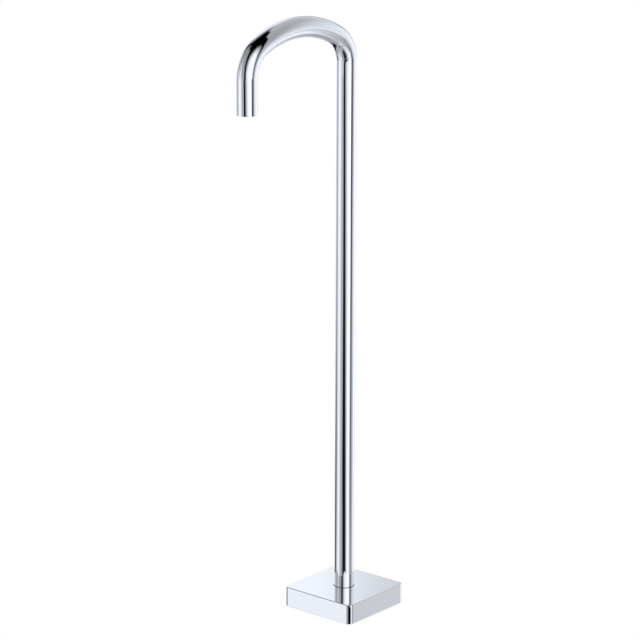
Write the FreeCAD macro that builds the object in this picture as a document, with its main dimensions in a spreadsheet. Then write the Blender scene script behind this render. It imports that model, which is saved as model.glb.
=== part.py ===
import FreeCAD, Part
import math
import os
import Sketcher

# Floor standing bath filler: a bent tube that rises from a square cover on the floor, arches over and
# pours into a bath. Millimetres. The origin is on the floor, on the riser's axis; +Z is up and the spout
# points to -Y.
#
# The riser stands over a turned stem that is screwed into a plate on the floor. It turns on the stem, and
# three set screws in the riser's foot run in a ring groove of the stem, so that it can't lift. The square
# cover slides up the riser, which bares the plate's fixing holes. A screw-in aerator sits inside the mouth.

doc = FreeCAD.newDocument("bath_filler")

# --------------------------------------------------------------------------------------------------
# Driving dimensions
# --------------------------------------------------------------------------------------------------

SIZES = (
    ("tube_diameter", 35, "outside of the riser, the arch and the drop leg"),
    ("tube_wall", 1.5, "wall of the bent tube"),
    ("springing_height", 962, "floor to where the riser starts to bend"),
    ("reach", 250, "riser axis to outlet axis"),
    ("corner_radius", 52.5, "centreline radius of the two tight bends of the arch"),
    ("crown_radius", 215, "centreline radius of the shallow crown between them"),
    ("drop_length", 58, "straight drop leg below the arch"),
    ("cover_side", 150, "square cover, side"),
    ("cover_height", 35, "square cover, height"),
    ("cover_wall", 2, "square cover, wall"),
    ("cover_corner_radius", 10, "upright corners of the cover"),
    ("cover_edge_radius", 1.2, "top edge of the cover"),
    ("cover_hole_gap", 0.8, "between the tube and the cover's hole"),
    ("neck_height", 7, "ring under the cover's hole"),
    ("neck_wall", 4.2, "ring under the cover's hole"),
    ("neck_ring_section", 2.4, "thickness of the ring that grips the tube"),
    ("rim_seal_height", 6, "foam strip inside the cover's rim"),
    ("rim_seal_thickness", 1.5, "foam strip inside the cover's rim"),
    ("gasket_thickness", 2, "rubber sheet under the floor plate"),
    ("gasket_setback", 1, "gasket edge inside the plate's edge"),
    ("gasket_bore_margin", 2, "gasket's centre hole round the stem's foot"),
    ("plate_thickness", 5, "floor plate"),
    ("plate_gap", 12.5, "floor plate's edge to the foam strip"),
    ("plate_chamfer", 1, "floor plate's upper edge"),
    ("hub_height", 3, "raised hub on the floor plate"),
    ("hub_wall", 8, "hub round the stem's foot"),
    ("fixing_hole_diameter", 7, "holes for the floor screws"),
    ("fixing_hole_edge", 14, "hole centre to the plate's edge"),
    ("fixing_hole_count", 4, "holes for the floor screws"),
    ("inlet_thread_diameter", 18.632, "minor diameter of the half inch female pipe thread"),
    ("inlet_thread_length", 12, "depth of that thread"),
    ("inlet_relief", 0.4, "undercut above the thread, on the radius"),
    ("strainer_thickness", 1.6, "sieve washer above the thread"),
    ("strainer_hole_diameter", 2.8, "holes of the sieve"),
    ("strainer_hole_pitch", 4.4, "hole centre to hole centre"),
    ("stem_foot_wall", 4.6, "stem's foot round the inlet thread"),
    ("stem_wall", 6, "stem above the hexagon"),
    ("stem_chamfer", 1, "stem's top edge"),
    ("hexagon_across_flats", 34, "spanner flats on the stem"),
    ("hexagon_height", 3.5, "spanner flats on the stem"),
    ("washer_thickness", 1, "washer that the riser turns on"),
    ("washer_setback", 1, "washer's edge inside the tube's outside"),
    ("socket_depth", 63.5, "stem inside the riser's foot, above the washer"),
    ("socket_overrun", 4, "riser's socket above the stem"),
    ("socket_wall", 2.9, "sleeve brazed in the riser's foot"),
    ("socket_lip", 1.5, "lip of that sleeve under the tube's end"),
    ("socket_lip_setback", 0.2, "lip's edge inside the tube's outside"),
    ("lock_height", 6.5, "set screw axes above the washer"),
    ("lock_screw_diameter", 5.9, "set screws, over the thread"),
    ("lock_screw_count", 3, "set screws round the riser's foot"),
    ("lock_nose_diameter", 3.8, "plain nose of a set screw"),
    ("lock_nose_gap", 0.4, "nose to the floor and the sides of the groove"),
    ("lock_setback", 0.3, "set screw's outer end inside the tube's outside"),
    ("lock_key_across_flats", 3, "hexagon socket in a set screw"),
    ("lock_key_depth", 2.2, "hexagon socket in a set screw"),
    ("lock_groove_depth", 1.5, "ring groove in the stem"),
    ("seal_section", 2.1, "thickness of the stem's O-rings, squeezed"),
    ("seal_spacing", 6, "one O-ring to the next, and to the stem's top"),
    ("seal_side_gap", 0.5, "O-ring to each side of its groove"),
    ("guide_height", 6, "bearing band"),
    ("guide_thickness", 1.5, "bearing band"),
    ("guide_split", 2, "gap where a bearing band opens"),
    ("guide_offset", 12, "bands' distance from the lower O-ring and from the ring groove"),
    ("mouth_recess", 2, "aerator's face inside the mouth of the tube"),
    ("sleeve_wall", 2, "sleeve brazed in the mouth"),
    ("sleeve_shoulder", 3, "height of the sleeve's inner shoulder"),
    ("sleeve_shoulder_width", 2, "width of the sleeve's inner shoulder"),
    ("housing_wall", 2, "aerator housing"),
    ("housing_lip", 1, "lip at the foot of the aerator housing"),
    ("housing_notch_width", 4, "notches for the aerator key"),
    ("housing_notch_depth", 1.2, "notches for the aerator key"),
    ("housing_notch_count", 6, "notches for the aerator key"),
    ("aerator_washer_thickness", 1.5, "washer over the aerator"),
    ("comb_height", 3, "honeycomb flow straightener"),
    ("comb_rim", 0.9, "rim of the honeycomb"),
    ("comb_wall", 0.5, "wall between two cells"),
    ("comb_rings", 3, "rings of cells round the middle one"),
    ("screen_thickness", 0.8, "one mixing screen"),
    ("screen_gap", 0.2, "one mixing screen to the next"),
    ("screen_slot", 1.2, "slots of a mixing screen"),
    ("screen_rim", 1.6, "rim of a mixing screen"),
    ("screen_slot_count", 7, "slots of a mixing screen"),
    ("jet_height", 3.6, "jet plate with its skirt"),
    ("jet_plate_thickness", 1.4, "plate of the jet plate"),
    ("jet_skirt", 1.2, "skirt of the jet plate"),
    ("jet_hole_diameter", 1.6, "holes of the jet plate"),
    ("jet_hole_edge", 2.7, "hole centre to the skirt's bore"),
    ("jet_hole_count", 12, "holes of the jet plate"),
    ("restrictor_height", 2.5, "flow restrictor"),
    ("restrictor_web", 1.2, "thin middle of the flow restrictor"),
    ("restrictor_rim", 1.2, "rim of the flow restrictor"),
    ("restrictor_hole_diameter", 3.2, "holes of the flow restrictor"),
    ("restrictor_hole_edge", 4.6, "hole centre to the rim of the flow restrictor"),
    ("restrictor_hole_count", 6, "holes of the flow restrictor"),
    ("turning_clearance", 0.05, "on the radius, where the riser turns or the cover slides"),
    ("seal_clearance", 0.02, "on the radius, at the O-rings and bands"),
    ("joint_gap", 0.05, "on the radius, brazed, screwed and pushed-in pieces"),
)

sheet = doc.addObject("Spreadsheet::Sheet", "sizes")
for row, (alias, amount, note) in enumerate(SIZES, start=1):
    sheet.set(f"A{row}", alias)
    sheet.set(f"B{row}", str(amount))
    sheet.set(f"C{row}", note)
    sheet.setAlias(f"B{row}", alias)
doc.recompute()


class Size:
    """A number together with the cell formula that gives it, for drawing a sketch and then binding it."""

    def __init__(self, number, formula=None):
        self.number = number
        self.formula = formula or f"({number})"

    def join(self, sign, other, number):
        return Size(number, f"({self.formula} {sign} {other.formula})")

    def __add__(self, other):
        other = as_size(other)
        return self.join("+", other, self.number + other.number)

    def __sub__(self, other):
        other = as_size(other)
        return self.join("-", other, self.number - other.number)

    def __mul__(self, other):
        other = as_size(other)
        return self.join("*", other, self.number * other.number)

    def __truediv__(self, other):
        other = as_size(other)
        return self.join("/", other, self.number / other.number)

    def __neg__(self):
        return Size(-self.number, f"(0 - {self.formula})")


def as_size(amount):
    return amount if isinstance(amount, Size) else Size(amount)


def cell(alias):
    return Size(float(sheet.get(alias)), f"sizes.{alias}")


def count(alias):
    return int(sheet.get(alias))


# --------------------------------------------------------------------------------------------------
# Ways of making a part
# --------------------------------------------------------------------------------------------------

ZERO = Size(0)
# A sketch's own origin point and its two axes, as its constraints number them.
ORIGIN, X_AXIS, Y_AXIS = (-1, 1), -1, -2
parts = []


def new_body(label):
    body = doc.addObject("PartDesign::Body", label)
    body.Label = label
    parts.append(body)
    return body


def origin_feature(body, role):
    return next(feature for feature in body.Origin.OriginFeatures if feature.Role == role)


def new_sketch(body, name, role="XY_Plane", lift=None):
    """A sketch on one of the body's own planes, lifted along the plane's normal."""
    sketch = body.newObject("Sketcher::SketchObject", f"{body.Label}_{name}")
    sketch.AttachmentSupport = [(origin_feature(body, role), "")]
    sketch.MapMode = "FlatFace"
    if lift:
        sketch.AttachmentOffset = FreeCAD.Placement(FreeCAD.Vector(0, 0, lift.number), FreeCAD.Rotation())
        sketch.setExpression("AttachmentOffset.Base.z", lift.formula)
    return sketch


def bind(sketch, kind, *where, size):
    index = sketch.addConstraint(Sketcher.Constraint(kind, *where, size.number))
    sketch.setExpression(f"Constraints[{index}]", size.formula)


def hold(sketch, point, x, y):
    """Fix a point of the sketch by its distances from the two axes."""
    for kind, amount, axis in (("DistanceX", x, Y_AXIS), ("DistanceY", y, X_AXIS)):
        if abs(amount.number) < 1e-9:
            sketch.addConstraint(Sketcher.Constraint("PointOnObject", *point, axis))
        elif amount.number > 0:
            bind(sketch, kind, *ORIGIN, *point, size=amount)
        else:
            bind(sketch, kind, *point, *ORIGIN, size=-amount)


def draw_outline(sketch, corners):
    """A closed outline of straight sides through the corners."""
    first = sketch.GeometryCount
    total = len(corners)
    for index, (x, y) in enumerate(corners):
        next_x, next_y = corners[(index + 1) % total]
        start = FreeCAD.Vector(x.number, y.number, 0)
        end = FreeCAD.Vector(next_x.number, next_y.number, 0)
        sketch.addGeometry(Part.LineSegment(start, end))
    for index, (x, y) in enumerate(corners):
        following = first + (index + 1) % total
        sketch.addConstraint(Sketcher.Constraint("Coincident", first + index, 2, following, 1))
        hold(sketch, (first + index, 1), x, y)


def draw_circle(sketch, radius, x=ZERO, y=ZERO):
    centre = FreeCAD.Vector(x.number, y.number, 0)
    index = sketch.addGeometry(Part.Circle(centre, FreeCAD.Vector(0, 0, 1), radius.number))
    bind(sketch, "Radius", index, size=radius)
    hold(sketch, (index, 3), x, y)


def draw_rounded_square(sketch, side, corner):
    """A square about the origin with round corners, its sides and arcs in turn from the lower side."""
    first = sketch.GeometryCount
    half = side.number / 2
    flat = half - corner.number
    for quarter in range(4):
        turn_to = FreeCAD.Rotation(FreeCAD.Vector(0, 0, 1), 90 * quarter)
        start = turn_to.multVec(FreeCAD.Vector(-flat, -half, 0))
        end = turn_to.multVec(FreeCAD.Vector(flat, -half, 0))
        centre = turn_to.multVec(FreeCAD.Vector(flat, -flat, 0))
        begin = math.radians(90 * (quarter - 1))
        sketch.addGeometry(Part.LineSegment(start, end))
        circle = Part.Circle(centre, FreeCAD.Vector(0, 0, 1), corner.number)
        sketch.addGeometry(Part.ArcOfCircle(circle, begin, begin + math.pi / 2))
    lower, right, upper, left = (first + 2 * quarter for quarter in range(4))
    for side_index in (lower, right, upper, left):
        following = first + (side_index - first + 2) % 8
        sketch.addConstraint(Sketcher.Constraint("Tangent", side_index, 2, side_index + 1, 1))
        sketch.addConstraint(Sketcher.Constraint("Tangent", side_index + 1, 2, following, 1))
        direction = "Horizontal" if side_index in (lower, upper) else "Vertical"
        sketch.addConstraint(Sketcher.Constraint(direction, side_index))
    for side_index in (right, upper, left):
        sketch.addConstraint(Sketcher.Constraint("Equal", lower + 1, side_index + 1))
    bind(sketch, "Radius", lower + 1, size=corner)
    bind(sketch, "DistanceY", lower, 1, *ORIGIN, size=side / 2)
    bind(sketch, "DistanceY", *ORIGIN, upper, 1, size=side / 2)
    bind(sketch, "DistanceX", *ORIGIN, right, 1, size=side / 2)
    bind(sketch, "DistanceX", left, 1, *ORIGIN, size=side / 2)


def draw_hexagon(sketch, across_flats, x=ZERO, y=ZERO):
    """A hexagon with two sides parallel to the sketch's vertical axis."""
    circumradius = across_flats / math.sqrt(3)
    turns = [math.radians(30 + 60 * corner) for corner in range(6)]
    draw_outline(sketch, [(x + circumradius * math.cos(a), y + circumradius * math.sin(a)) for a in turns])


def pad(body, sketch, length, reverse=False):
    feature = body.newObject("PartDesign::Pad", f"{sketch.Name}_pad")
    feature.Profile = sketch
    feature.Reversed = reverse
    feature.setExpression("Length", length.formula)
    return feature


def pocket(body, sketch, depth, reverse=False):
    """A cut against the sketch's normal, or along it when reversed."""
    feature = body.newObject("PartDesign::Pocket", f"{sketch.Name}_pocket")
    feature.Profile = sketch
    feature.Reversed = reverse
    feature.setExpression("Length", depth.formula)
    return feature


def repeat_round(body, features, copies):
    """Copies of the features at equal angles round the body's vertical axis."""
    pattern = body.newObject("PartDesign::PolarPattern", f"{features[0].Name}_round")
    pattern.Originals = features
    pattern.Axis = (origin_feature(body, "Z_Axis"), [""])
    pattern.Angle = 360
    pattern.Occurrences = copies
    body.Tip = pattern
    return pattern


def turned_part(label, corners):
    """A body turned round the vertical axis, from the (radius, height) corners of half its section."""
    body = new_body(label)
    sketch = new_sketch(body, "section", "XZ_Plane")
    draw_outline(sketch, corners)
    turn(body, sketch)
    return body


def turn(body, sketch):
    feature = body.newObject("PartDesign::Revolution", f"{sketch.Name}_turn")
    feature.Profile = sketch
    feature.ReferenceAxis = (sketch, ["V_Axis"])
    feature.Angle = 360
    return feature


def ring_section(inner, outer, low, high):
    return [(inner, low), (outer, low), (outer, high), (inner, high)]


def rubber_ring_section(inner, thickness, middle):
    """A rubber ring's section, simplified to eight sides, flat where the ring is squeezed."""
    half = thickness / 2
    flat = half * math.tan(math.pi / 8)
    centre = inner + half
    return [
        (centre - flat, middle - half),
        (centre + flat, middle - half),
        (centre + half, middle - flat),
        (centre + half, middle + flat),
        (centre + flat, middle + half),
        (centre - flat, middle + half),
        (centre - half, middle + flat),
        (centre - half, middle - flat),
    ]


def round_edges(body, name, radius, wanted):
    """Round the edges of the body so far whose middle point answers to wanted."""
    doc.recompute()
    base = body.Tip
    names = []
    for index, edge in enumerate(base.Shape.Edges, start=1):
        if wanted(edge.valueAt((edge.FirstParameter + edge.LastParameter) / 2)):
            names.append(f"Edge{index}")
    feature = body.newObject("PartDesign::Fillet", f"{body.Label}_{name}")
    feature.Base = (base, names)
    feature.setExpression("Radius", radius.formula)
    return feature


# --------------------------------------------------------------------------------------------------
# Levels and radii that several parts share
# --------------------------------------------------------------------------------------------------

joint_gap = cell("joint_gap")
tube_radius = cell("tube_diameter") / 2
tube_bore = tube_radius - cell("tube_wall")

plate_low = cell("gasket_thickness")
plate_top = plate_low + cell("plate_thickness")
hub_top = plate_top + cell("hub_height")
hexagon_top = hub_top + cell("hexagon_height")
washer_top = hexagon_top + cell("washer_thickness")
tube_foot = washer_top + cell("socket_lip")
stem_top = washer_top + cell("socket_depth")
lock_level = washer_top + cell("lock_height")

plate_radius = cell("cover_side") / 2 - cell("cover_wall") - cell("rim_seal_thickness") - cell("plate_gap")
fixing_circle = plate_radius - cell("fixing_hole_edge")

inlet_radius = cell("inlet_thread_diameter") / 2
relief_radius = inlet_radius + cell("inlet_relief")
stem_foot_radius = inlet_radius + cell("stem_foot_wall")
socket_outside = tube_bore - joint_gap
socket_bore = socket_outside - cell("socket_wall")
stem_radius = socket_bore - cell("turning_clearance")
stem_bore = stem_radius - cell("stem_wall")
seal_outside = socket_bore - cell("seal_clearance")

lock_groove_floor = stem_radius - cell("lock_groove_depth")
lock_groove_half = cell("lock_nose_diameter") / 2 + cell("lock_nose_gap")

# --------------------------------------------------------------------------------------------------
# Fixed to the floor
# --------------------------------------------------------------------------------------------------


def drill_fixing_holes(body, thickness):
    """Holes for the floor screws, the first on the diagonal, in the corner of the cover."""
    sketch = new_sketch(body, "fixing_hole")
    across = fixing_circle * math.sqrt(0.5)
    draw_circle(sketch, cell("fixing_hole_diameter") / 2, across, across)
    hole = pocket(body, sketch, thickness, reverse=True)
    repeat_round(body, [hole], count("fixing_hole_count"))


gasket = turned_part("floor_gasket", ring_section(
    stem_foot_radius + cell("gasket_bore_margin"), plate_radius - cell("gasket_setback"), ZERO, plate_low))
drill_fixing_holes(gasket, plate_low)

# The plate's hub carries the thread that the stem's foot is screwed into.
hub_radius = stem_foot_radius + cell("hub_wall")
hub_bore = stem_foot_radius + joint_gap
plate = turned_part("floor_plate", [
    (hub_bore, plate_low),
    (plate_radius, plate_low),
    (plate_radius, plate_top - cell("plate_chamfer")),
    (plate_radius - cell("plate_chamfer"), plate_top),
    (hub_radius, plate_top),
    (hub_radius, hub_top),
    (hub_bore, hub_top),
])
drill_fixing_holes(plate, plate_top)

# The stem is one turned bar: foot with the inlet thread, hexagon, ring groove, two band grooves and two
# O-ring grooves. Its grooves are listed from the bottom up as middle, half width and floor.
seal_floor = seal_outside - cell("seal_section") - joint_gap
seal_half = cell("seal_section") / 2 + cell("seal_side_gap")
upper_seal = stem_top - cell("seal_spacing")
lower_seal = upper_seal - cell("seal_spacing")
guide_floor = seal_outside - cell("guide_thickness") - joint_gap
guide_half = cell("guide_height") / 2 + joint_gap
lower_guide = lock_level + cell("guide_offset")
upper_guide = lower_seal - cell("guide_offset")
stem_grooves = (
    (lock_level, lock_groove_half, lock_groove_floor),
    (lower_guide, guide_half, guide_floor),
    (upper_guide, guide_half, guide_floor),
    (lower_seal, seal_half, seal_floor),
    (upper_seal, seal_half, seal_floor),
)
thread_top = plate_low + cell("inlet_thread_length")
relief_top = thread_top + cell("strainer_thickness") + joint_gap

stem_section = [
    (inlet_radius, plate_low),
    (stem_foot_radius, plate_low),
    (stem_foot_radius, hub_top),
    (stem_radius, hub_top),
]
for middle, half, floor in stem_grooves:
    stem_section += [
        (stem_radius, middle - half),
        (floor, middle - half),
        (floor, middle + half),
        (stem_radius, middle + half),
    ]
stem_section += [
    (stem_radius, stem_top - cell("stem_chamfer")),
    (stem_radius - cell("stem_chamfer"), stem_top),
    (stem_bore, stem_top),
    (stem_bore, relief_top),
    (relief_radius, relief_top),
    (relief_radius, thread_top),
    (inlet_radius, thread_top),
]
stem = turned_part("supply_stem", stem_section)
hexagon = new_sketch(stem, "hexagon", lift=hub_top)
draw_hexagon(hexagon, cell("hexagon_across_flats"))
draw_circle(hexagon, relief_radius)
pad(stem, hexagon, cell("hexagon_height"))

strainer_radius = relief_radius - joint_gap
strainer = new_body("inlet_strainer")
strainer_disc = new_sketch(strainer, "disc", lift=relief_top - cell("strainer_thickness"))
draw_circle(strainer_disc, strainer_radius)
strainer_pitch = cell("strainer_hole_pitch")
draw_circle(strainer_disc, cell("strainer_hole_diameter") / 2)
for sixth_turn in range(6):
    angle = math.radians(60 * sixth_turn)
    x = strainer_pitch * math.cos(angle)
    y = strainer_pitch * math.sin(angle)
    draw_circle(strainer_disc, cell("strainer_hole_diameter") / 2, x, y)
pad(strainer, strainer_disc, cell("strainer_thickness"))

turned_part("thrust_washer", ring_section(
    stem_radius + joint_gap, tube_radius - cell("washer_setback"), hexagon_top, washer_top))

# Two bearing bands, split so that they can be sprung over the stem.
guides = new_body("stem_guide_rings")
guide_sketch = new_sketch(guides, "section", "XZ_Plane")
for middle in (lower_guide, upper_guide):
    draw_outline(guide_sketch, ring_section(
        seal_outside - cell("guide_thickness"), seal_outside,
        middle - cell("guide_height") / 2, middle + cell("guide_height") / 2))
turn(guides, guide_sketch)
split = new_sketch(guides, "split", "YZ_Plane")
split_half = cell("guide_split") / 2
draw_outline(split, [
    (-split_half, lower_guide - cell("guide_height")),
    (split_half, lower_guide - cell("guide_height")),
    (split_half, upper_guide + cell("guide_height")),
    (-split_half, upper_guide + cell("guide_height")),
])
pocket(guides, split, stem_radius * 2, reverse=True)

seals = new_body("stem_o_rings")
seal_sketch = new_sketch(seals, "section", "XZ_Plane")
for middle in (lower_seal, upper_seal):
    seal_inside = seal_outside - cell("seal_section")
    draw_outline(seal_sketch, rubber_ring_section(seal_inside, cell("seal_section"), middle))
turn(seals, seal_sketch)

# --------------------------------------------------------------------------------------------------
# The riser, arch and drop leg, with what is fixed in them
# --------------------------------------------------------------------------------------------------

# The arch is three-centred: two tight bends joined by a shallow crown, all tangent, so that the top is
# broader and flatter than half a circle. The bends turn through the angle that the reach and the two radii
# leave them.
reach = cell("reach")
springing = cell("springing_height")
corner_radius = cell("corner_radius")
crown_radius = cell("crown_radius")
radius_step = (crown_radius - corner_radius).number
bend_angle = math.acos((reach / 2 - corner_radius).number / radius_step)
crown_centre = springing.number - radius_step * math.sin(bend_angle)
front_bend_centre = (corner_radius - reach).number

tube = new_body("spout_tube")
route = new_sketch(tube, "centreline", "YZ_Plane")


def arc(centre_y, centre_z, radius, start, end):
    circle = Part.Circle(FreeCAD.Vector(centre_y, centre_z, 0), FreeCAD.Vector(0, 0, 1), radius)
    return Part.ArcOfCircle(circle, start, end)


def line(start_y, start_z, end_y, end_z):
    return Part.LineSegment(FreeCAD.Vector(start_y, start_z, 0), FreeCAD.Vector(end_y, end_z, 0))


RISER, BACK_BEND, CROWN, FRONT_BEND, DROP = range(5)
mouth_level = springing - cell("drop_length")
route.addGeometry([
    line(0, tube_foot.number, 0, springing.number),
    arc(-corner_radius.number, springing.number, corner_radius.number, 0, bend_angle),
    arc(-reach.number / 2, crown_centre, crown_radius.number, bend_angle, math.pi - bend_angle),
    arc(front_bend_centre, springing.number, corner_radius.number, math.pi - bend_angle, math.pi),
    line(-reach.number, springing.number, -reach.number, mouth_level.number),
])
for before, after in ((RISER, BACK_BEND), (BACK_BEND, CROWN), (CROWN, FRONT_BEND), (FRONT_BEND, DROP)):
    route.addConstraint(Sketcher.Constraint("Tangent", before, 2, after, 1))
route.addConstraint(Sketcher.Constraint("PointOnObject", RISER, 1, Y_AXIS))
route.addConstraint(Sketcher.Constraint("Vertical", RISER))
route.addConstraint(Sketcher.Constraint("Vertical", DROP))
route.addConstraint(Sketcher.Constraint("Horizontal", RISER, 2, DROP, 1))
route.addConstraint(Sketcher.Constraint("Equal", BACK_BEND, FRONT_BEND))
bind(route, "Radius", BACK_BEND, size=corner_radius)
bind(route, "Radius", CROWN, size=crown_radius)
bind(route, "DistanceY", *ORIGIN, RISER, 1, size=tube_foot)
bind(route, "DistanceY", *ORIGIN, RISER, 2, size=springing)
bind(route, "DistanceX", DROP, 2, *ORIGIN, size=reach)
bind(route, "DistanceY", DROP, 2, DROP, 1, size=cell("drop_length"))

bore_and_wall = new_sketch(tube, "wall", lift=tube_foot)
draw_circle(bore_and_wall, tube_radius)
draw_circle(bore_and_wall, tube_bore)
doc.recompute()
bend = tube.newObject("PartDesign::AdditivePipe", "spout_tube_bend")
bend.Profile = bore_and_wall
bend.Spine = (route, [f"Edge{index + 1}" for index in range(route.GeometryCount)])


def drill_lock_holes(body, radius):
    """Radial holes for the set screws, the first at the back."""
    sketch = new_sketch(body, "lock_hole", "XZ_Plane")
    draw_circle(sketch, radius, ZERO, lock_level)
    hole = pocket(body, sketch, tube_radius * 2)
    repeat_round(body, [hole], count("lock_screw_count"))


lock_screw_radius = cell("lock_screw_diameter") / 2
drill_lock_holes(tube, lock_screw_radius + joint_gap)

lip_radius = tube_radius - cell("socket_lip_setback")
socket_top = stem_top + cell("socket_overrun")
socket = turned_part("riser_socket", [
    (socket_bore, washer_top),
    (lip_radius, washer_top),
    (lip_radius, tube_foot),
    (socket_outside, tube_foot),
    (socket_outside, socket_top),
    (socket_bore + cell("stem_chamfer"), socket_top),
    (socket_bore, socket_top - cell("stem_chamfer")),
])
drill_lock_holes(socket, lock_screw_radius + joint_gap)

# Each set screw: threaded shank, plain nose that runs in the ring groove, hexagon socket for the key.
screws = new_body("locking_screws")
shank_inner = socket_bore
shank_outer = tube_radius - cell("lock_setback")
nose_tip = lock_groove_floor + cell("lock_nose_gap")
shank = new_sketch(screws, "shank", "XZ_Plane", lift=-shank_inner)
draw_circle(shank, lock_screw_radius, ZERO, lock_level)
shank_pad = pad(screws, shank, shank_outer - shank_inner, reverse=True)
nose = new_sketch(screws, "nose", "XZ_Plane", lift=-nose_tip)
draw_circle(nose, cell("lock_nose_diameter") / 2, ZERO, lock_level)
nose_pad = pad(screws, nose, shank_inner - nose_tip, reverse=True)
key = new_sketch(screws, "key", "XZ_Plane", lift=-shank_outer)
draw_hexagon(key, cell("lock_key_across_flats"), ZERO, lock_level)
key_pocket = pocket(screws, key, cell("lock_key_depth"), reverse=True)
repeat_round(screws, [shank_pad, nose_pad, key_pocket], count("lock_screw_count"))

# The aerator is drawn round its own axis with its heights from the mouth, and placed at the end of the
# drop leg.
sleeve_outside = tube_bore - joint_gap
sleeve_bore = sleeve_outside - cell("sleeve_wall")
housing_outside = sleeve_bore - joint_gap
housing_bore = housing_outside - cell("housing_wall")
insert_radius = housing_bore - joint_gap
insert_level = cell("mouth_recess") + cell("housing_lip")
screen_level = insert_level + cell("comb_height")
screen_step = cell("screen_thickness") + cell("screen_gap")
jet_level = screen_level + screen_step + cell("screen_thickness")
restrictor_level = jet_level + cell("jet_height")
housing_top = restrictor_level + cell("restrictor_height")
shoulder_level = housing_top + cell("aerator_washer_thickness")
sleeve_top = shoulder_level + cell("sleeve_shoulder")
shoulder_bore = sleeve_bore - cell("sleeve_shoulder_width")


def place_at_mouth(body):
    mouth = FreeCAD.Vector(0, -reach.number, mouth_level.number)
    body.Placement = FreeCAD.Placement(mouth, FreeCAD.Rotation())
    body.setExpression("Placement.Base.y", (-reach).formula)
    body.setExpression("Placement.Base.z", mouth_level.formula)


sleeve = turned_part("outlet_sleeve", [
    (sleeve_bore, cell("mouth_recess")),
    (sleeve_outside, cell("mouth_recess")),
    (sleeve_outside, sleeve_top),
    (shoulder_bore, sleeve_top),
    (shoulder_bore, shoulder_level),
    (sleeve_bore, shoulder_level),
])
place_at_mouth(sleeve)

housing = turned_part("aerator_housing", [
    (housing_bore - cell("housing_lip"), cell("mouth_recess")),
    (housing_outside, cell("mouth_recess")),
    (housing_outside, housing_top),
    (housing_bore, housing_top),
    (housing_bore, insert_level),
    (housing_bore - cell("housing_lip"), insert_level),
])
notch = new_sketch(housing, "notch", lift=cell("mouth_recess"))
notch_half = cell("housing_notch_width") / 2
notch_inner = housing_bore + cell("housing_wall") / 2
draw_outline(notch, [
    (notch_inner, -notch_half),
    (housing_outside + cell("housing_wall"), -notch_half),
    (housing_outside + cell("housing_wall"), notch_half),
    (notch_inner, notch_half),
])
notch_pocket = pocket(housing, notch, cell("housing_notch_depth"), reverse=True)
repeat_round(housing, [notch_pocket], count("housing_notch_count"))
place_at_mouth(housing)

comb = new_body("flow_straightener")
comb_disc = new_sketch(comb, "disc", lift=insert_level)
draw_circle(comb_disc, insert_radius)
pad(comb, comb_disc, cell("comb_height"))
comb_rings = count("comb_rings")
# The farthest corner of the outermost cell touches the rim.
comb_pitch = (insert_radius - cell("comb_rim")) / math.hypot(comb_rings + 0.5, 0.5 / math.sqrt(3))
cell_width = comb_pitch - cell("comb_wall")
middle_cell = new_sketch(comb, "middle_cell", lift=insert_level)
draw_hexagon(middle_cell, cell_width)
pocket(comb, middle_cell, cell("comb_height"), reverse=True)
sixth = new_sketch(comb, "sixth_of_the_cells", lift=insert_level)
for ring in range(1, comb_rings + 1):
    for step in range(ring):
        across = comb_pitch * (ring - step / 2)
        along = comb_pitch * (step * math.sqrt(3) / 2)
        draw_hexagon(sixth, cell_width, across, along)
sixth_pocket = pocket(comb, sixth, cell("comb_height"), reverse=True)
repeat_round(comb, [sixth_pocket], 6)
place_at_mouth(comb)

# Two screens with crossed slots, whose ends follow the rim.
screens = new_body("mixing_screens")
slot_count = count("screen_slot_count")
slot_field = insert_radius - cell("screen_rim")
slot_pitch = slot_field * 2 / slot_count
for screen, slots_along_x in enumerate((True, False)):
    low = screen_level + screen_step * screen
    sketch = new_sketch(screens, f"screen_{screen + 1}", lift=low)
    draw_circle(sketch, insert_radius)
    for slot in range(slot_count):
        offset = slot_pitch * (slot - (slot_count - 1) / 2)
        reach_of_slot = math.sqrt(1 - (abs(offset.number) / slot_field.number) ** 2)
        half_length = slot_field * reach_of_slot
        half_width = cell("screen_slot") / 2
        corners = [
            (-half_length, offset - half_width),
            (half_length, offset - half_width),
            (half_length, offset + half_width),
            (-half_length, offset + half_width),
        ]
        draw_outline(sketch, corners if slots_along_x else [(y, x) for x, y in reversed(corners)])
    pad(screens, sketch, cell("screen_thickness"))
place_at_mouth(screens)

jet_bore = insert_radius - cell("jet_skirt")
jet = turned_part("jet_plate", [
    (ZERO, restrictor_level - cell("jet_plate_thickness")),
    (jet_bore, restrictor_level - cell("jet_plate_thickness")),
    (jet_bore, jet_level),
    (insert_radius, jet_level),
    (insert_radius, restrictor_level),
    (ZERO, restrictor_level),
])
jet_hole = new_sketch(jet, "hole", lift=jet_level)
draw_circle(jet_hole, cell("jet_hole_diameter") / 2, jet_bore - cell("jet_hole_edge"))
jet_pocket = pocket(jet, jet_hole, cell("jet_height"), reverse=True)
repeat_round(jet, [jet_pocket], count("jet_hole_count"))
place_at_mouth(jet)

restrictor_bore = insert_radius - cell("restrictor_rim")
restrictor = turned_part("flow_restrictor", [
    (ZERO, restrictor_level),
    (insert_radius, restrictor_level),
    (insert_radius, housing_top),
    (restrictor_bore, housing_top),
    (restrictor_bore, restrictor_level + cell("restrictor_web")),
    (ZERO, restrictor_level + cell("restrictor_web")),
])
restrictor_hole = new_sketch(restrictor, "hole", lift=restrictor_level)
restrictor_circle = restrictor_bore - cell("restrictor_hole_edge")
draw_circle(restrictor_hole, cell("restrictor_hole_diameter") / 2, restrictor_circle)
restrictor_pocket = pocket(restrictor, restrictor_hole, cell("restrictor_web"), reverse=True)
repeat_round(restrictor, [restrictor_pocket], count("restrictor_hole_count"))
place_at_mouth(restrictor)

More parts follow.
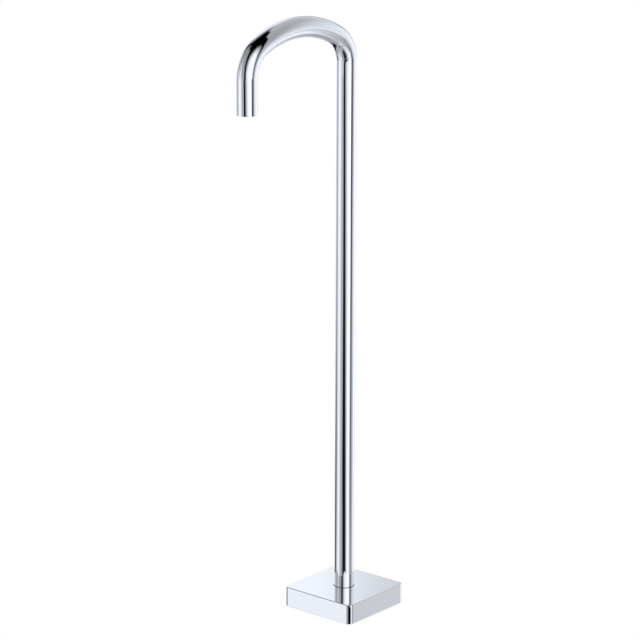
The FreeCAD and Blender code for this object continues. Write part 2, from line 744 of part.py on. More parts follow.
aerator_washer = turned_part("aerator_washer", ring_section(
    shoulder_bore, housing_outside, housing_top, shoulder_level))
place_at_mouth(aerator_washer)

# --------------------------------------------------------------------------------------------------
# The square cover, which slides on the riser
# --------------------------------------------------------------------------------------------------

cover_side = cell("cover_side")
cover_height = cell("cover_height")
cover_wall = cell("cover_wall")
inner_side = cover_side - cover_wall * 2
ceiling = cover_height - cover_wall
hole_radius = tube_radius + cell("cover_hole_gap")

shell = new_body("cover_shell")
outside = new_sketch(shell, "outside")
draw_rounded_square(outside, cover_side, cell("cover_corner_radius"))
pad(shell, outside, cover_height)
round_edges(shell, "top_edge", cell("cover_edge_radius"), lambda middle: middle.z > ceiling.number)
inside = new_sketch(shell, "inside")
inner_corner = cell("cover_corner_radius") - cover_wall
draw_rounded_square(inside, inner_side, inner_corner)
pocket(shell, inside, ceiling, reverse=True)
tube_hole = new_sketch(shell, "tube_hole")
draw_circle(tube_hole, hole_radius)
pocket(shell, tube_hole, cover_height, reverse=True)

# The neck is brazed under the cover's hole. Its open-topped groove holds the ring that grips the tube.
ring_thickness = cell("neck_ring_section")
ring_inside = tube_radius + cell("turning_clearance")
groove_outside = ring_inside + ring_thickness + joint_gap
groove_floor = ceiling - ring_thickness - joint_gap
turned_part("cover_neck", [
    (hole_radius, ceiling - cell("neck_height")),
    (hole_radius + cell("neck_wall"), ceiling - cell("neck_height")),
    (hole_radius + cell("neck_wall"), ceiling),
    (groove_outside, ceiling),
    (groove_outside, groove_floor),
    (hole_radius, groove_floor),
])

turned_part("cover_o_ring", rubber_ring_section(
    ring_inside, ring_thickness, groove_floor + ring_thickness / 2 + joint_gap / 2))

rim_seal = new_body("cover_rim_seal")
strip_side = inner_side - joint_gap * 2
strip_bore = strip_side - cell("rim_seal_thickness") * 2
strip = new_sketch(rim_seal, "strip")
strip_corner = inner_corner - joint_gap
draw_rounded_square(strip, strip_side, strip_corner)
draw_rounded_square(strip, strip_bore, strip_corner - cell("rim_seal_thickness"))
pad(rim_seal, strip, cell("rim_seal_height"))

# --------------------------------------------------------------------------------------------------
# Check every object, then write one file for each part
# --------------------------------------------------------------------------------------------------

doc.recompute()
for item in doc.Objects:
    if "Invalid" in item.State or "Error" in item.State:
        raise RuntimeError(f"{item.Name} failed: {item.State}")
for item in doc.Objects:
    if item.TypeId == "PartDesign::Pocket" and item.Shape.Volume >= item.BaseFeature.Shape.Volume - 1e-6:
        raise RuntimeError(f"{item.Name} cuts nothing")
for body in parts:
    if body.Shape.isNull() or not body.Shape.isValid():
        raise RuntimeError(f"{body.Label} has no valid shape")

os.makedirs("parts", exist_ok=True)
for body in parts:
    body.Shape.exportStep(f"parts/{body.Label}.step")
    box = body.Shape.BoundBox
    print(
        f"{body.Label:18} solids {len(body.Shape.Solids)}  volume {body.Shape.Volume:9.1f}"
        f"  z {box.ZMin:8.2f} to {box.ZMax:8.2f}  y {box.YMin:8.2f} to {box.YMax:8.2f}")
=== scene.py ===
import bpy
import bmesh
import math
from mathutils import Matrix, Vector


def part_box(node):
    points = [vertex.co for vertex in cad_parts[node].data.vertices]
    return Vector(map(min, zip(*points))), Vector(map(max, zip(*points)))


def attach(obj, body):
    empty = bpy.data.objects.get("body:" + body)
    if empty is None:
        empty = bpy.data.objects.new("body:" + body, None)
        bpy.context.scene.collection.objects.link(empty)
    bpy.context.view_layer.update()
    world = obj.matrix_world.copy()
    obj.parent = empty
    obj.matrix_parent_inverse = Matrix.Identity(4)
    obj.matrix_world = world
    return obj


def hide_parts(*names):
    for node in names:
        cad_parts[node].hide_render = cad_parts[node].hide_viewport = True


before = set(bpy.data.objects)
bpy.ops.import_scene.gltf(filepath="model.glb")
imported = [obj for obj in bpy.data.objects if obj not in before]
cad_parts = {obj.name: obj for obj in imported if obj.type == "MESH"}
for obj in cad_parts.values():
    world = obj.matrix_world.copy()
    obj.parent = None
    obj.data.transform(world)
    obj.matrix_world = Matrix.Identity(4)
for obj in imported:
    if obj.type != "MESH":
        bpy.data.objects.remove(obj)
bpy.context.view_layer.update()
scene = bpy.context.scene
scene.view_settings.view_transform = "Standard"

# ---- Camera ---------------------------------------------------------------------------------------
# A long lens, four metres off, looks at the filler's left front corner from a little above, as in the
# photograph, and is turned 40 degrees from the direction the spout points in. The numbers are another
# program's fit to the photographed outlines.
VIEW_TURN = math.radians(40.107)
VIEW_RISE = math.radians(14.563)
VIEW_ROLL = math.radians(0.138)
VIEW_DISTANCE = 4.2773
AIM_HEIGHT = 0.51608
AIM_LEFT = 0.04333
SENSOR_WIDTH_MM = 36
LENS_MM = 140.51
FARTHEST_SEEN = 50

towards_camera = Vector((
    math.sin(VIEW_TURN) * math.cos(VIEW_RISE),
    -math.cos(VIEW_TURN) * math.cos(VIEW_RISE),
    math.sin(VIEW_RISE),
))
picture_right = Vector((math.cos(VIEW_TURN), math.sin(VIEW_TURN), 0))
camera_place = Vector((0, 0, AIM_HEIGHT)) + towards_camera * VIEW_DISTANCE - picture_right * AIM_LEFT
camera_data = bpy.data.cameras.new("camera")
camera_data.sensor_width = SENSOR_WIDTH_MM
camera_data.lens = LENS_MM
camera_data.clip_end = FARTHEST_SEEN
camera = bpy.data.objects.new("camera", camera_data)
camera.matrix_world = (
    Matrix.Translation(camera_place)
    @ Matrix.Rotation(VIEW_TURN, 4, "Z")
    @ Matrix.Rotation(math.pi / 2 - VIEW_RISE, 4, "X")
    @ Matrix.Rotation(VIEW_ROLL, 4, "Z")
)
scene.collection.objects.link(camera)
scene.camera = camera


# ---- Studio ---------------------------------------------------------------------------------------
# A white room for the camera. Polished metal sees what stands round a product table: a dark ceiling, a
# big softbox in front, pale walls at both sides, and the dark gaps between them.
class Value:
    """A socket of a node tree that arithmetic can be done on."""

    def __init__(self, nodes, node, output=0):
        self.nodes = nodes
        self.node = node
        self.socket = node.outputs[output]

    def out(self, output):
        return Value(self.nodes, self.node, output)

    def math(self, operation, *others):
        inputs = {index: other for index, other in enumerate((self, *others))}
        return self.nodes.add("ShaderNodeMath", {"operation": operation}, inputs)

    def turned_math(self, operation, first):
        return self.nodes.add("ShaderNodeMath", {"operation": operation}, {0: first, 1: self})

    def __add__(self, other):
        return self.math("ADD", other)

    def __radd__(self, other):
        return self.turned_math("ADD", other)

    def __sub__(self, other):
        return self.math("SUBTRACT", other)

    def __rsub__(self, other):
        return self.turned_math("SUBTRACT", other)

    def __mul__(self, other):
        return self.math("MULTIPLY", other)

    def __rmul__(self, other):
        return self.turned_math("MULTIPLY", other)

    def __truediv__(self, other):
        return self.math("DIVIDE", other)

    def __rtruediv__(self, other):
        return self.turned_math("DIVIDE", other)

    def __pow__(self, other):
        return self.math("POWER", other)

    def __abs__(self):
        return self.math("ABSOLUTE")


class Nodes:
    """A node tree that is filled by add: a node's type, its settings, then its sockets' values or links.

    A list of links goes into a socket that joins what it is given.
    """

    def __init__(self, tree):
        self.tree = tree

    def add(self, kind, settings=None, inputs=None):
        node = self.tree.nodes.new(kind)
        for name, setting in (settings or {}).items():
            if name == "stops":
                ramp = node.color_ramp
                while len(ramp.elements) < len(setting):
                    ramp.elements.new(1)
                for element, (position, colour) in zip(ramp.elements, setting):
                    element.position = position
                    element.color = (*colour, 1)
            else:
                setattr(node, name, setting)
        for key, given in (inputs or {}).items():
            links = given if isinstance(given, list) else [given]
            if isinstance(links[0], Value):
                for link in links:
                    self.tree.links.new(link.socket, node.inputs[key])
            else:
                node.inputs[key].default_value = given
        return Value(self, node) if node.outputs else node


def ease(value):
    """0 below 0, 1 above 1, and a smooth step between."""
    held = value.nodes.add("ShaderNodeClamp", None, {"Value": value})
    return held * held * (3 - 2 * held)


def mix(factor, first, second):
    """From one number to another as the factor goes from 0 to 1."""
    return first + (second - first) * factor


world = bpy.data.worlds.new("studio")
scene.world = world
world.use_nodes = True
world.node_tree.nodes.clear()
studio = Nodes(world.node_tree)
ray = studio.add("ShaderNodeSeparateXYZ", None, {
    "Vector": studio.add("ShaderNodeTexCoord").out("Generated")})
across, along, rise = ray.out("X"), ray.out("Y"), ray.out("Z")
TO_DEGREES = 180 / math.pi
# Bearing 0 is behind the camera, and bearings grow to the camera's right. Height 90 is straight up.
bearing = across.math("ARCTAN2", 0 - along) * TO_DEGREES - math.degrees(VIEW_TURN)
height = rise.math("ARCSINE") * TO_DEGREES


SLOPE_LIMIT = 1.5


def card(light, bearing_at, height_at, half_width, half_height, level,
         corner, soft, lean=0, side_slope=0, up_slope=0):
    """Hang a panel in front of the light so far. Its outline is a rounded rectangle with a soft edge.

    Places and sizes are in degrees. A lean says how far it goes to the right for each degree up. The
    slopes say how much lighter its right and its upper edge are.
    """
    up = height - height_at
    side = (bearing - bearing_at - lean * up).math("WRAP", 180, -180)
    edge = (abs(side / half_width) ** corner + abs(up / half_height) ** corner) ** (1 / corner)
    cover = ease((1 - edge) / soft + 0.5)
    shade = level
    if side_slope or up_slope:
        sideways = studio.add("ShaderNodeClamp", None, {
            "Value": side / half_width, "Min": -SLOPE_LIMIT, "Max": SLOPE_LIMIT})
        upwards = studio.add("ShaderNodeClamp", None, {
            "Value": up / half_height, "Min": -SLOPE_LIMIT, "Max": SLOPE_LIMIT})
        shade = (level + side_slope * sideways + up_slope * upwards).math("MAXIMUM", 0)
    return mix(cover, light, shade)


# Nearly all numbers from here to the last card were made by another program, which fitted them to how the
# metal shines in the photograph, and were then rounded. Three cards were not fitted, and say so.

# A grey floor, and darkness over it.
FLOOR_EDGE = -19.2
FLOOR_EDGE_SOFT = 3
FLOOR_LEVEL = 0.4
DARKNESS = 0.001
light = mix(ease((height - FLOOR_EDGE) / FLOOR_EDGE_SOFT + 0.5), FLOOR_LEVEL, DARKNESS)
# The bright wall behind the filler, the walls at both sides, and the glow that spills over the right one.
light = card(light, -169, 10, 73, 34, 1.27,
             corner=1.5, soft=1.5, lean=0.13, side_slope=-0.56, up_slope=-0.22)
light = card(light, -73, 16, 43, 47, 0.37, corner=7, soft=0.3, lean=-0.07, up_slope=-0.11)
light = card(light, 128, 1.5, 50, 67, 0.42,
             corner=4.7, soft=0.05, lean=0.06, side_slope=0.08, up_slope=0.02)
light = card(light, 144, -2.7, 43.5, 27, 0.95,
             corner=8, soft=1.6, lean=0.63, side_slope=-0.19, up_slope=-0.12)
# The big softbox in front, a smaller one low on the left, and what both throw on the floor.
light = card(light, 26, 12, 35, 35.5, 1.04, corner=2.8, soft=0.92, side_slope=0.3, up_slope=-0.13)
light = card(light, -79, -29.5, 23, 47, 0.82, corner=1.5, soft=1.1, lean=0.08, up_slope=0.4)
light = card(light, 23, -38.5, 27.5, 29.5, 0.68,
             corner=7.5, soft=0.9, lean=-0.2, side_slope=0.38, up_slope=0.2)
light = card(light, 101.5, -37, 22.5, 22, 0.77,
             corner=1.8, soft=0.5, lean=-0.15, side_slope=0.51, up_slope=-0.28)
# The dark gap between the left wall and the softbox, from top to bottom, and its shadow on the floor.
light = card(light, -24.3, 22, 8.6, 43.3, 0.015, corner=7, soft=0.07, lean=-0.28)
light = card(light, -2.9, -15, 17.6, 6.9, 0.065,
             corner=6.5, soft=0.2, lean=-2.1, side_slope=0.58, up_slope=0.05)
light = card(light, -8, -44.7, 20.5, 20.2, 0.001, corner=8, soft=0.84, side_slope=0.07, up_slope=-0.05)
light = card(light, -14, -33, 10.7, 13, 0.03, corner=3, soft=0.5, lean=-0.3)
# The thin dark line that the cover's front corner mirrors, not fitted.
light = card(light, 15, -21.3, 22, 0.32, 0.001, corner=8, soft=0.3)
# The narrow gap between the softbox and the right wall.
light = card(light, 74.2, -2, 1.7, 35.6, 0.007, corner=8, soft=0.3)
light = card(light, 71.8, -14.5, 11.9, 7.2, 0.16,
             corner=1.5, soft=0.7, lean=-2, side_slope=0.25, up_slope=-0.23)
# The low end of the narrow gap, not fitted.
light = card(light, 69, -28.5, 2.5, 7.5, 0.05, corner=4, soft=0.5, lean=-0.58)
# The left wall's far end, a narrow upright panel in front of it, two dark things behind the filler, and a
# pale patch low on the right.
light = card(light, -115.3, -19.1, 19.4, 5, 0.14,
             corner=1.6, soft=1.6, lean=2.27, side_slope=0.19, up_slope=0.2)
light = card(light, -81.7, 15.8, 3.8, 24.7, 0.39,
             corner=2.2, soft=0.06, lean=-0.15, side_slope=-0.64, up_slope=0.05)
light = card(light, -157.4, -44.2, 19.8, 21.3, 0.03, corner=3.4, soft=0.3, lean=0.49, side_slope=0.05)
light = card(light, -133, 43, 11, 13.5, 0.001,
             corner=7, soft=1.3, lean=-0.43, side_slope=-0.16, up_slope=0.2)
light = card(light, 93.4, -58.5, 24.5, 19.5, 0.57,
             corner=6.6, soft=1.55, lean=-0.26, side_slope=-0.06, up_slope=-0.23)
# The grey seam between the wall behind and the floor, which outlines the tube, not fitted.
light = card(light, 168, 5, 20, 12, 0.45, corner=6, soft=0.2)

# The faint blue of the metal in the photograph.
WALL_TINT = (0.962, 1.0, 1.085, 1)
WHITE = (1, 1, 1, 1)
ROOM_LIGHT = 0.75
seen_by = studio.add("ShaderNodeLightPath")
level = studio.add("ShaderNodeCombineColor", None, {"Red": light, "Green": light, "Blue": light})
cards = studio.add("ShaderNodeMix", {"data_type": "RGBA", "blend_type": "MULTIPLY"}, {
    "Factor": 1.0, 6: level, 7: WALL_TINT})
reflected = studio.add("ShaderNodeBackground", None, {"Color": cards.out(2)})
backdrop = studio.add("ShaderNodeBackground", None, {"Color": WHITE})
room = studio.add("ShaderNodeBackground", None, {"Color": WHITE, "Strength": ROOM_LIGHT})
in_metal = studio.add("ShaderNodeMixShader", None, {
    0: seen_by.out("Is Glossy Ray"), 1: room, 2: reflected})
in_view = studio.add("ShaderNodeMixShader", None, {
    0: seen_by.out("Is Camera Ray").math("MAXIMUM", seen_by.out("Is Transmission Ray")),
    1: in_metal, 2: backdrop})
studio.add("ShaderNodeOutputWorld", None, {"Surface": in_view})

# ---- Floor ----------------------------------------------------------------------------------------
# A pale floor that is white like the room, and keeps a faint shadow where the filler stands on it.
# Polished metal doesn't see it, because the cards above go on below the horizon.
FLOOR_RADIUS = 0.6
FLOOR_FADES_FROM = 0.2
FLOOR_GLOW = 0.79
SHADOW_SHARE = 0.27
FLOOR_SIDES = 96
FLOOR_GAP = 0.0002

floor_mesh = bpy.data.meshes.new("floor")
shape = bmesh.new()
bmesh.ops.create_circle(shape, cap_ends=True, radius=FLOOR_RADIUS, segments=FLOOR_SIDES)
shape.to_mesh(floor_mesh)
shape.free()
floor = bpy.data.objects.new("floor", floor_mesh)
floor.location.z = -FLOOR_GAP
scene.collection.objects.link(floor)
floor.visible_glossy = False
floor_finish = bpy.data.materials.new("white_floor")
floor_finish.use_nodes = True
floor_finish.node_tree.nodes.clear()
floor_nodes = Nodes(floor_finish.node_tree)
floor_place = floor_nodes.add("ShaderNodeTexCoord").out("Object")
from_middle = floor_nodes.add("ShaderNodeVectorMath", {"operation": "LENGTH"}, {0: floor_place}).out("Value")
shown = floor_nodes.add("ShaderNodeAddShader", None, {
    0: floor_nodes.add("ShaderNodeEmission", None, {"Color": (FLOOR_GLOW, FLOOR_GLOW, FLOOR_GLOW, 1)}),
    1: floor_nodes.add("ShaderNodeBsdfDiffuse", None, {
        "Color": (SHADOW_SHARE, SHADOW_SHARE, SHADOW_SHARE, 1)})})
faded = floor_nodes.add("ShaderNodeMixShader", None, {
    0: ease((from_middle - FLOOR_FADES_FROM) / (FLOOR_RADIUS - FLOOR_FADES_FROM)),
    1: shown,
    2: floor_nodes.add("ShaderNodeBsdfTransparent")})
floor_nodes.add("ShaderNodeOutputMaterial", None, {"Surface": faded})
floor_mesh.materials.append(floor_finish)

# ---- Lamps ----------------------------------------------------------------------------------------
# One soft lamp high on the camera's left gives the matt parts their shape. Metal sees the cards alone.
LAMP_SIZE = 1.6
LAMP_WATTS = 26
LAMP_PLACE = Vector((0.2, -2.2, 2.6))
LAMP_AIM = Vector((0, 0, 0.3))

lamp_data = bpy.data.lights.new("soft_lamp", "AREA")
lamp_data.shape = "DISK"
lamp_data.size = LAMP_SIZE
lamp_data.energy = LAMP_WATTS
lamp = bpy.data.objects.new("soft_lamp", lamp_data)
lamp.location = LAMP_PLACE
lamp.rotation_euler = (LAMP_AIM - LAMP_PLACE).to_track_quat("-Z", "Y").to_euler()
lamp.visible_glossy = False
scene.collection.objects.link(lamp)


# ---- Floor gasket ---------------------------------------------------------------------------------
# A sheet of black rubber under the floor plate, die cut to a ring. It takes up an uneven floor, and the
# four floor screws go through it.
def new_material(name):
    made = bpy.data.materials.new(name)
    made.use_nodes = True
    made.node_tree.nodes.clear()
    return made, Nodes(made.node_tree)


def finish_material(nodes, inputs):
    shader = nodes.add("ShaderNodeBsdfPrincipled", None, inputs)
    nodes.add("ShaderNodeOutputMaterial", None, {"Surface": shader})


def grain(nodes, scale, detail=2.0):
    """Noise over the piece, in so many patches to the metre."""
    place = nodes.add("ShaderNodeTexCoord").out("Object")
    return nodes.add("ShaderNodeTexNoise", None, {"Vector": place, "Scale": scale, "Detail": detail})


def between(nodes, factor, first, second):
    """A colour that goes from the first to the second as the factor goes from 0.3 to 0.7."""
    return nodes.add("ShaderNodeValToRGB", {"stops": [(0.3, first), (0.7, second)]}, {"Fac": factor})


def relief(nodes, height, strength, depth):
    return nodes.add("ShaderNodeBump", None, {"Height": height, "Strength": strength, "Distance": depth})


def rubber(name, dark, bloom, matt):
    """Moulded rubber: nearly black, with a paler bloom in patches and a fine pebbled skin."""
    made, nodes = new_material(name)
    patches = grain(nodes, scale=120.0)
    pebbles = grain(nodes, scale=2600.0)
    finish_material(nodes, {
        "Base Color": between(nodes, patches, dark, bloom),
        "Roughness": matt + 0.15 * patches,
        "Normal": relief(nodes, pebbles, strength=0.25, depth=0.00005)})
    return made


def smooth_over(mesh, angle=35):
    """Smooth shading with a crease where two faces meet at more than the angle, in degrees."""
    mesh.shade_smooth()
    mesh.set_sharp_from_angle(angle=math.radians(angle))


def place_piece(name, mesh, finish, body, material_slot, *nodes):
    """Put a finished mesh in the scene, on its body, in place of the solids it stands for."""
    mesh.name = name
    mesh.materials.clear()
    mesh.materials.append(finish)
    piece = bpy.data.objects.new(name, mesh)
    scene.collection.objects.link(piece)
    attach(piece, body)
    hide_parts(*nodes)


def carrier_for(mesh):
    """An object that holds a mesh while modifiers work on it."""
    carrier = bpy.data.objects.new("carrier", mesh)
    scene.collection.objects.link(carrier)
    return carrier


def take_mesh(carrier):
    """The mesh that a carrier's modifiers make, as a plain mesh. The carrier goes."""
    depsgraph = bpy.context.evaluated_depsgraph_get()
    made = bpy.data.meshes.new_from_object(carrier.evaluated_get(depsgraph), depsgraph=depsgraph)
    bpy.data.objects.remove(carrier)
    return made


def add_tree(name, sockets, result):
    """An empty geometry tree with named inputs, and its input values."""
    tree = bpy.data.node_groups.new(name, "GeometryNodeTree")
    for socket_name, kind in sockets:
        tree.interface.new_socket(socket_name, in_out="INPUT", socket_type="NodeSocket" + kind)
    tree.interface.new_socket(result, in_out="OUTPUT", socket_type="NodeSocketGeometry")
    nodes = Nodes(tree)
    return tree, nodes, nodes.add("NodeGroupInput")


def end_tree(nodes, result, geometry, finish):
    """Real geometry with its finish, at the end of a tree."""
    real = nodes.add("GeometryNodeRealizeInstances", None, {"Geometry": geometry})
    nodes.add("NodeGroupOutput", None, {result: nodes.add("GeometryNodeSetMaterial", None, {
        "Geometry": real, "Material": finish})})


def grow(tree, start, values):
    """A carrier whose mesh the tree grows from a start mesh, with the tree's named inputs set."""
    carrier = carrier_for(start)
    modifier = carrier.modifiers.new("grow", "NODES")
    modifier.node_group = tree
    for item in tree.interface.items_tree:
        if item.in_out == "INPUT" and values.get(item.name) is not None:
            modifier[item.identifier] = values[item.name]
    return carrier


def new_mesh(shape):
    """A plain mesh of the shape so far, with its faces turned outwards."""
    bmesh.ops.recalc_face_normals(shape, faces=shape.faces)
    made = bpy.data.meshes.new("mesh")
    shape.to_mesh(made)
    shape.free()
    return made


def join_rings(shape, first, second, closed=True):
    total = len(first)
    for index in range(total if closed else total - 1):
        following = (index + 1) % total
        shape.faces.new((first[index], first[following], second[following], second[index]))


LARGEST_CUT = 0.4


def broken(outline, size, steps=2):
    """An outline whose sharp corners are taken off by a small round, as on any turned part.

    The round takes at most the share LARGEST_CUT of either side.
    """
    eased = []
    for index, (radius, level) in enumerate(outline):
        before, after = outline[index - 1], outline[(index + 1) % len(outline)]
        if any(callable(corner[0]) for corner in (before, (radius, level), after)):
            eased.append((radius, level))
            continue
        here = Vector((radius, level))
        back, on = Vector(before) - here, Vector(after) - here
        cut = min(size, LARGEST_CUT * back.length, LARGEST_CUT * on.length)
        start = here + back.normalized() * cut
        end = here + on.normalized() * cut
        for step in range(steps + 1):
            share = step / steps
            eased.append(tuple(start.lerp(here, share).lerp(here.lerp(end, share), share)))
    return eased


ROUND_SIDES = 96
WIDE_ROUND_SIDES = 128


def turned(outline, sides=ROUND_SIDES, opening=0.0, centre=(0, 0), solid=False):
    """A ring turned round an upright axis, from its closed outline of (radius, height) corners.

    A radius may be a function of the angle. An opening, in radians, leaves the ring split on the +X side.
    A solid piece has an open outline, whose two ends are flat faces round the axis.
    """
    shape = bmesh.new()
    steps = sides + 1 if opening else sides
    rings = []
    for radius, level in outline:
        ring = []
        for step in range(steps):
            angle = opening / 2 + (2 * math.pi - opening) * step / sides
            out = radius(angle) if callable(radius) else radius
            ring.append(shape.verts.new((
                centre[0] + out * math.cos(angle), centre[1] + out * math.sin(angle), level)))
        rings.append(ring)
    for first, second in zip(rings, rings[1:] if solid else rings[1:] + rings[:1]):
        join_rings(shape, first, second, closed=not opening)
    if opening:
        for end in (0, -1):
            shape.faces.new([ring[end] for ring in rings])
    if solid:
        shape.faces.new(rings[0])
        shape.faces.new(rings[-1])
    return new_mesh(shape)


def carve(mesh, tool_mesh):
    """One mesh with another cut out of it. The other stays as it is and can cut again."""
    carrier = carrier_for(mesh)
    tool = carrier_for(tool_mesh)
    cut = carrier.modifiers.new("cut", "BOOLEAN")
    cut.operation = "DIFFERENCE"
    cut.object = tool
    cut.solver = "EXACT"
    made = take_mesh(carrier)
    bpy.data.objects.remove(tool)
    return made


DRILL_SIDES = 40


def rod(radius, length, place):
    """A round bar along the Z axis of a place, which is a matrix, to drill a hole with."""
    shape = bmesh.new()
    bmesh.ops.create_cone(
        shape, cap_ends=True, segments=DRILL_SIDES, radius1=radius, radius2=radius, depth=length,
        matrix=place)
    return new_mesh(shape)


copies_tree, copying, copies_given = add_tree("copies_on_an_axis", (
    ("Piece", "Geometry"), ("Count", "Int"), ("Rise", "Float"), ("First turn", "Float"), ("Turn", "Float"),
    ("Finish", "Material")), "Pieces")
places_on_axis = copying.add("GeometryNodeMeshLine", {"mode": "OFFSET"}, {
    "Count": copies_given.out("Count"),
    "Offset": copying.add("ShaderNodeCombineXYZ", None, {"Z": copies_given.out("Rise")})})
turn_here = copies_given.out("First turn") + copying.add("GeometryNodeInputIndex") * copies_given.out("Turn")
end_tree(copying, "Pieces", copying.add("GeometryNodeInstanceOnPoints", None, {
    "Points": places_on_axis,
    "Instance": copies_given.out("Piece"),
    "Rotation": copying.add("ShaderNodeCombineXYZ", None, {"Z": turn_here})}), copies_given.out("Finish"))


def copies(mesh, count, finish=None, rise=0.0, first_turn=0.0, turn=0.0):
    """Equal pieces on the upright axis, each higher or turned on from the last. Turns are in degrees."""
    return take_mesh(grow(copies_tree, mesh, {
        "Count": count, "Rise": rise, "First turn": math.radians(first_turn), "Turn": math.radians(turn),
        "Finish": finish}))


STEM_FOOT_RADIUS = 0.013916
GASKET_BORE_MARGIN = 0.002
FIXING_HOLE_RADIUS = 0.0035
FIXING_HOLE_TO_EDGE = 0.014
FIXING_HOLES = 4
FIRST_HOLE_TURN = 45
FLOOR_DRILL_LENGTH = 0.1
CUT_EDGE = 0.00015
gasket_low, gasket_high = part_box("floor_gasket")
plate_low, plate_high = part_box("floor_plate")
plate_radius = plate_high.x
fixing_circle = plate_radius - FIXING_HOLE_TO_EDGE
black_rubber = rubber(
    "black_rubber", dark=(0.016, 0.016, 0.017), bloom=(0.032, 0.032, 0.034), matt=0.48)
gasket_mesh = turned(broken([
    (STEM_FOOT_RADIUS + GASKET_BORE_MARGIN, gasket_low.z),
    (gasket_high.x, gasket_low.z),
    (gasket_high.x, gasket_high.z),
    (STEM_FOOT_RADIUS + GASKET_BORE_MARGIN, gasket_high.z),
], CUT_EDGE), sides=WIDE_ROUND_SIDES)
floor_drill = rod(FIXING_HOLE_RADIUS, FLOOR_DRILL_LENGTH, Matrix.Translation((fixing_circle, 0, 0)))
floor_drills = copies(floor_drill, FIXING_HOLES, first_turn=FIRST_HOLE_TURN, turn=360 / FIXING_HOLES)
gasket_mesh = carve(gasket_mesh, floor_drills)
smooth_over(gasket_mesh)
place_piece("gasket_sheet", gasket_mesh, black_rubber, "floor_base", "rubber", "floor_gasket")

# ---- Floor plate ----------------------------------------------------------------------------------
# A disc of stainless steel, faced on a lathe, with four holes for the floor screws. Its raised hub carries
# the thread that the stem's foot is screwed into.
PLATE_CHAMFER = 0.001
HUB_HEIGHT = 0.003
HUB_WALL = 0.008
JOINT_GAP = 0.00005
TOOL_EDGE = 0.0002


def faced_steel(name, dark, bright, polish):
    """Stainless steel with the fine rings that facing it on a lathe leaves."""
    made, nodes = new_material(name)
    place = nodes.add("ShaderNodeTexCoord").out("Object")
    rings = nodes.add("ShaderNodeTexWave", {"wave_type": "RINGS", "rings_direction": "Z"}, {
        "Vector": place, "Scale": 700.0, "Distortion": 0.6, "Detail": 1.0})
    patches = grain(nodes, scale=60.0)
    finish_material(nodes, {
        "Base Color": between(nodes, patches, dark, bright),
        "Metallic": 1.0,
        "Roughness": polish + 0.08 * rings + 0.06 * patches,
        "Normal": relief(nodes, rings, strength=0.12, depth=0.00003)})
    return made


plate_steel = faced_steel("plate_steel", dark=(0.50, 0.50, 0.51), bright=(0.60, 0.61, 0.62), polish=0.22)
hub_top = plate_high.z
plate_top = hub_top - HUB_HEIGHT
hub_bore = STEM_FOOT_RADIUS + JOINT_GAP
hub_radius = STEM_FOOT_RADIUS + HUB_WALL
plate_mesh = turned(broken([
    (hub_bore, plate_low.z),
    (plate_radius, plate_low.z),
    (plate_radius, plate_top - PLATE_CHAMFER),
    (plate_radius - PLATE_CHAMFER, plate_top),
    (hub_radius, plate_top),
    (hub_radius, hub_top),
    (hub_bore, hub_top),
], TOOL_EDGE), sides=WIDE_ROUND_SIDES)
plate_mesh = carve(plate_mesh, floor_drills)
smooth_over(plate_mesh)
place_piece("fixing_plate", plate_mesh, plate_steel, "floor_base", "plate_steel", "floor_plate")

# ---- Supply stem ----------------------------------------------------------------------------------
# One turned brass bar that water rises through. From the foot up it has a female pipe thread, spanner
# flats, a ring groove for the set screws' noses, two grooves for bearing bands and two for O-rings.
INLET_RADIUS = 0.009316
THREAD_DEPTH = 0.001162
THREAD_PITCH = 0.001814
THREAD_ROWS = 8
INLET_RELIEF = 0.0004
STEM_RADIUS = 0.013
STEM_BORE = 0.007
STEM_CHAMFER = 0.001
STRAINER_THICKNESS = 0.0016
LOCK_GROOVE_FLOOR = 0.0115
LOCK_GROOVE_HALF = 0.0023
GUIDE_GROOVE_FLOOR = 0.01148
GUIDE_HEIGHT = 0.006
SEAL_GROOVE_FLOOR = 0.01088
SEAL_GROOVE_HALF = 0.00155
SEAL_THICKNESS = 0.0021
FLATS_TURNED_DOWN = 0.0007
# A thread is a zigzag that is stretched by the first of these, lowered by the second, and then cut flat at
# its crest and its root.
THREAD_STRETCH = 1.3
THREAD_LOWERED = 0.15


def brass(name, dark, bright, polish):
    """Free-cutting brass, a little dulled in patches, with the lathe's feed marks round it."""
    made, nodes = new_material(name)
    place = nodes.add("ShaderNodeTexCoord").out("Object")
    marks = nodes.add("ShaderNodeTexWave", {"wave_type": "BANDS", "bands_direction": "Z"}, {
        "Vector": place, "Scale": 1200.0, "Distortion": 0.4, "Detail": 1.0})
    dull = grain(nodes, scale=90.0, detail=3.0)
    finish_material(nodes, {
        "Base Color": between(nodes, dull, dark, bright),
        "Metallic": 1.0,
        "Roughness": polish + 0.10 * dull + 0.05 * marks,
        "Normal": relief(nodes, marks, strength=0.10, depth=0.00002)})
    return made


def hexagon(half_width, point_radius=math.inf):
    """The radius of a hexagon with a flat on the +X side. Its points may be turned down to a radius."""
    def out(angle):
        off_flat = (angle + math.pi / 6) % (math.pi / 3) - math.pi / 6
        return min(half_width / math.cos(off_flat), point_radius)
    return out


def thread(crest, depth, level, share):
    """The radius at one height of an inside thread, cut to a share of its depth."""
    def out(angle):
        turn = (level / THREAD_PITCH - angle / (2 * math.pi)) % 1
        flank = THREAD_STRETCH * abs(2 * turn - 1) - THREAD_LOWERED
        return crest + depth * share * min(1, max(0, flank))
    return out


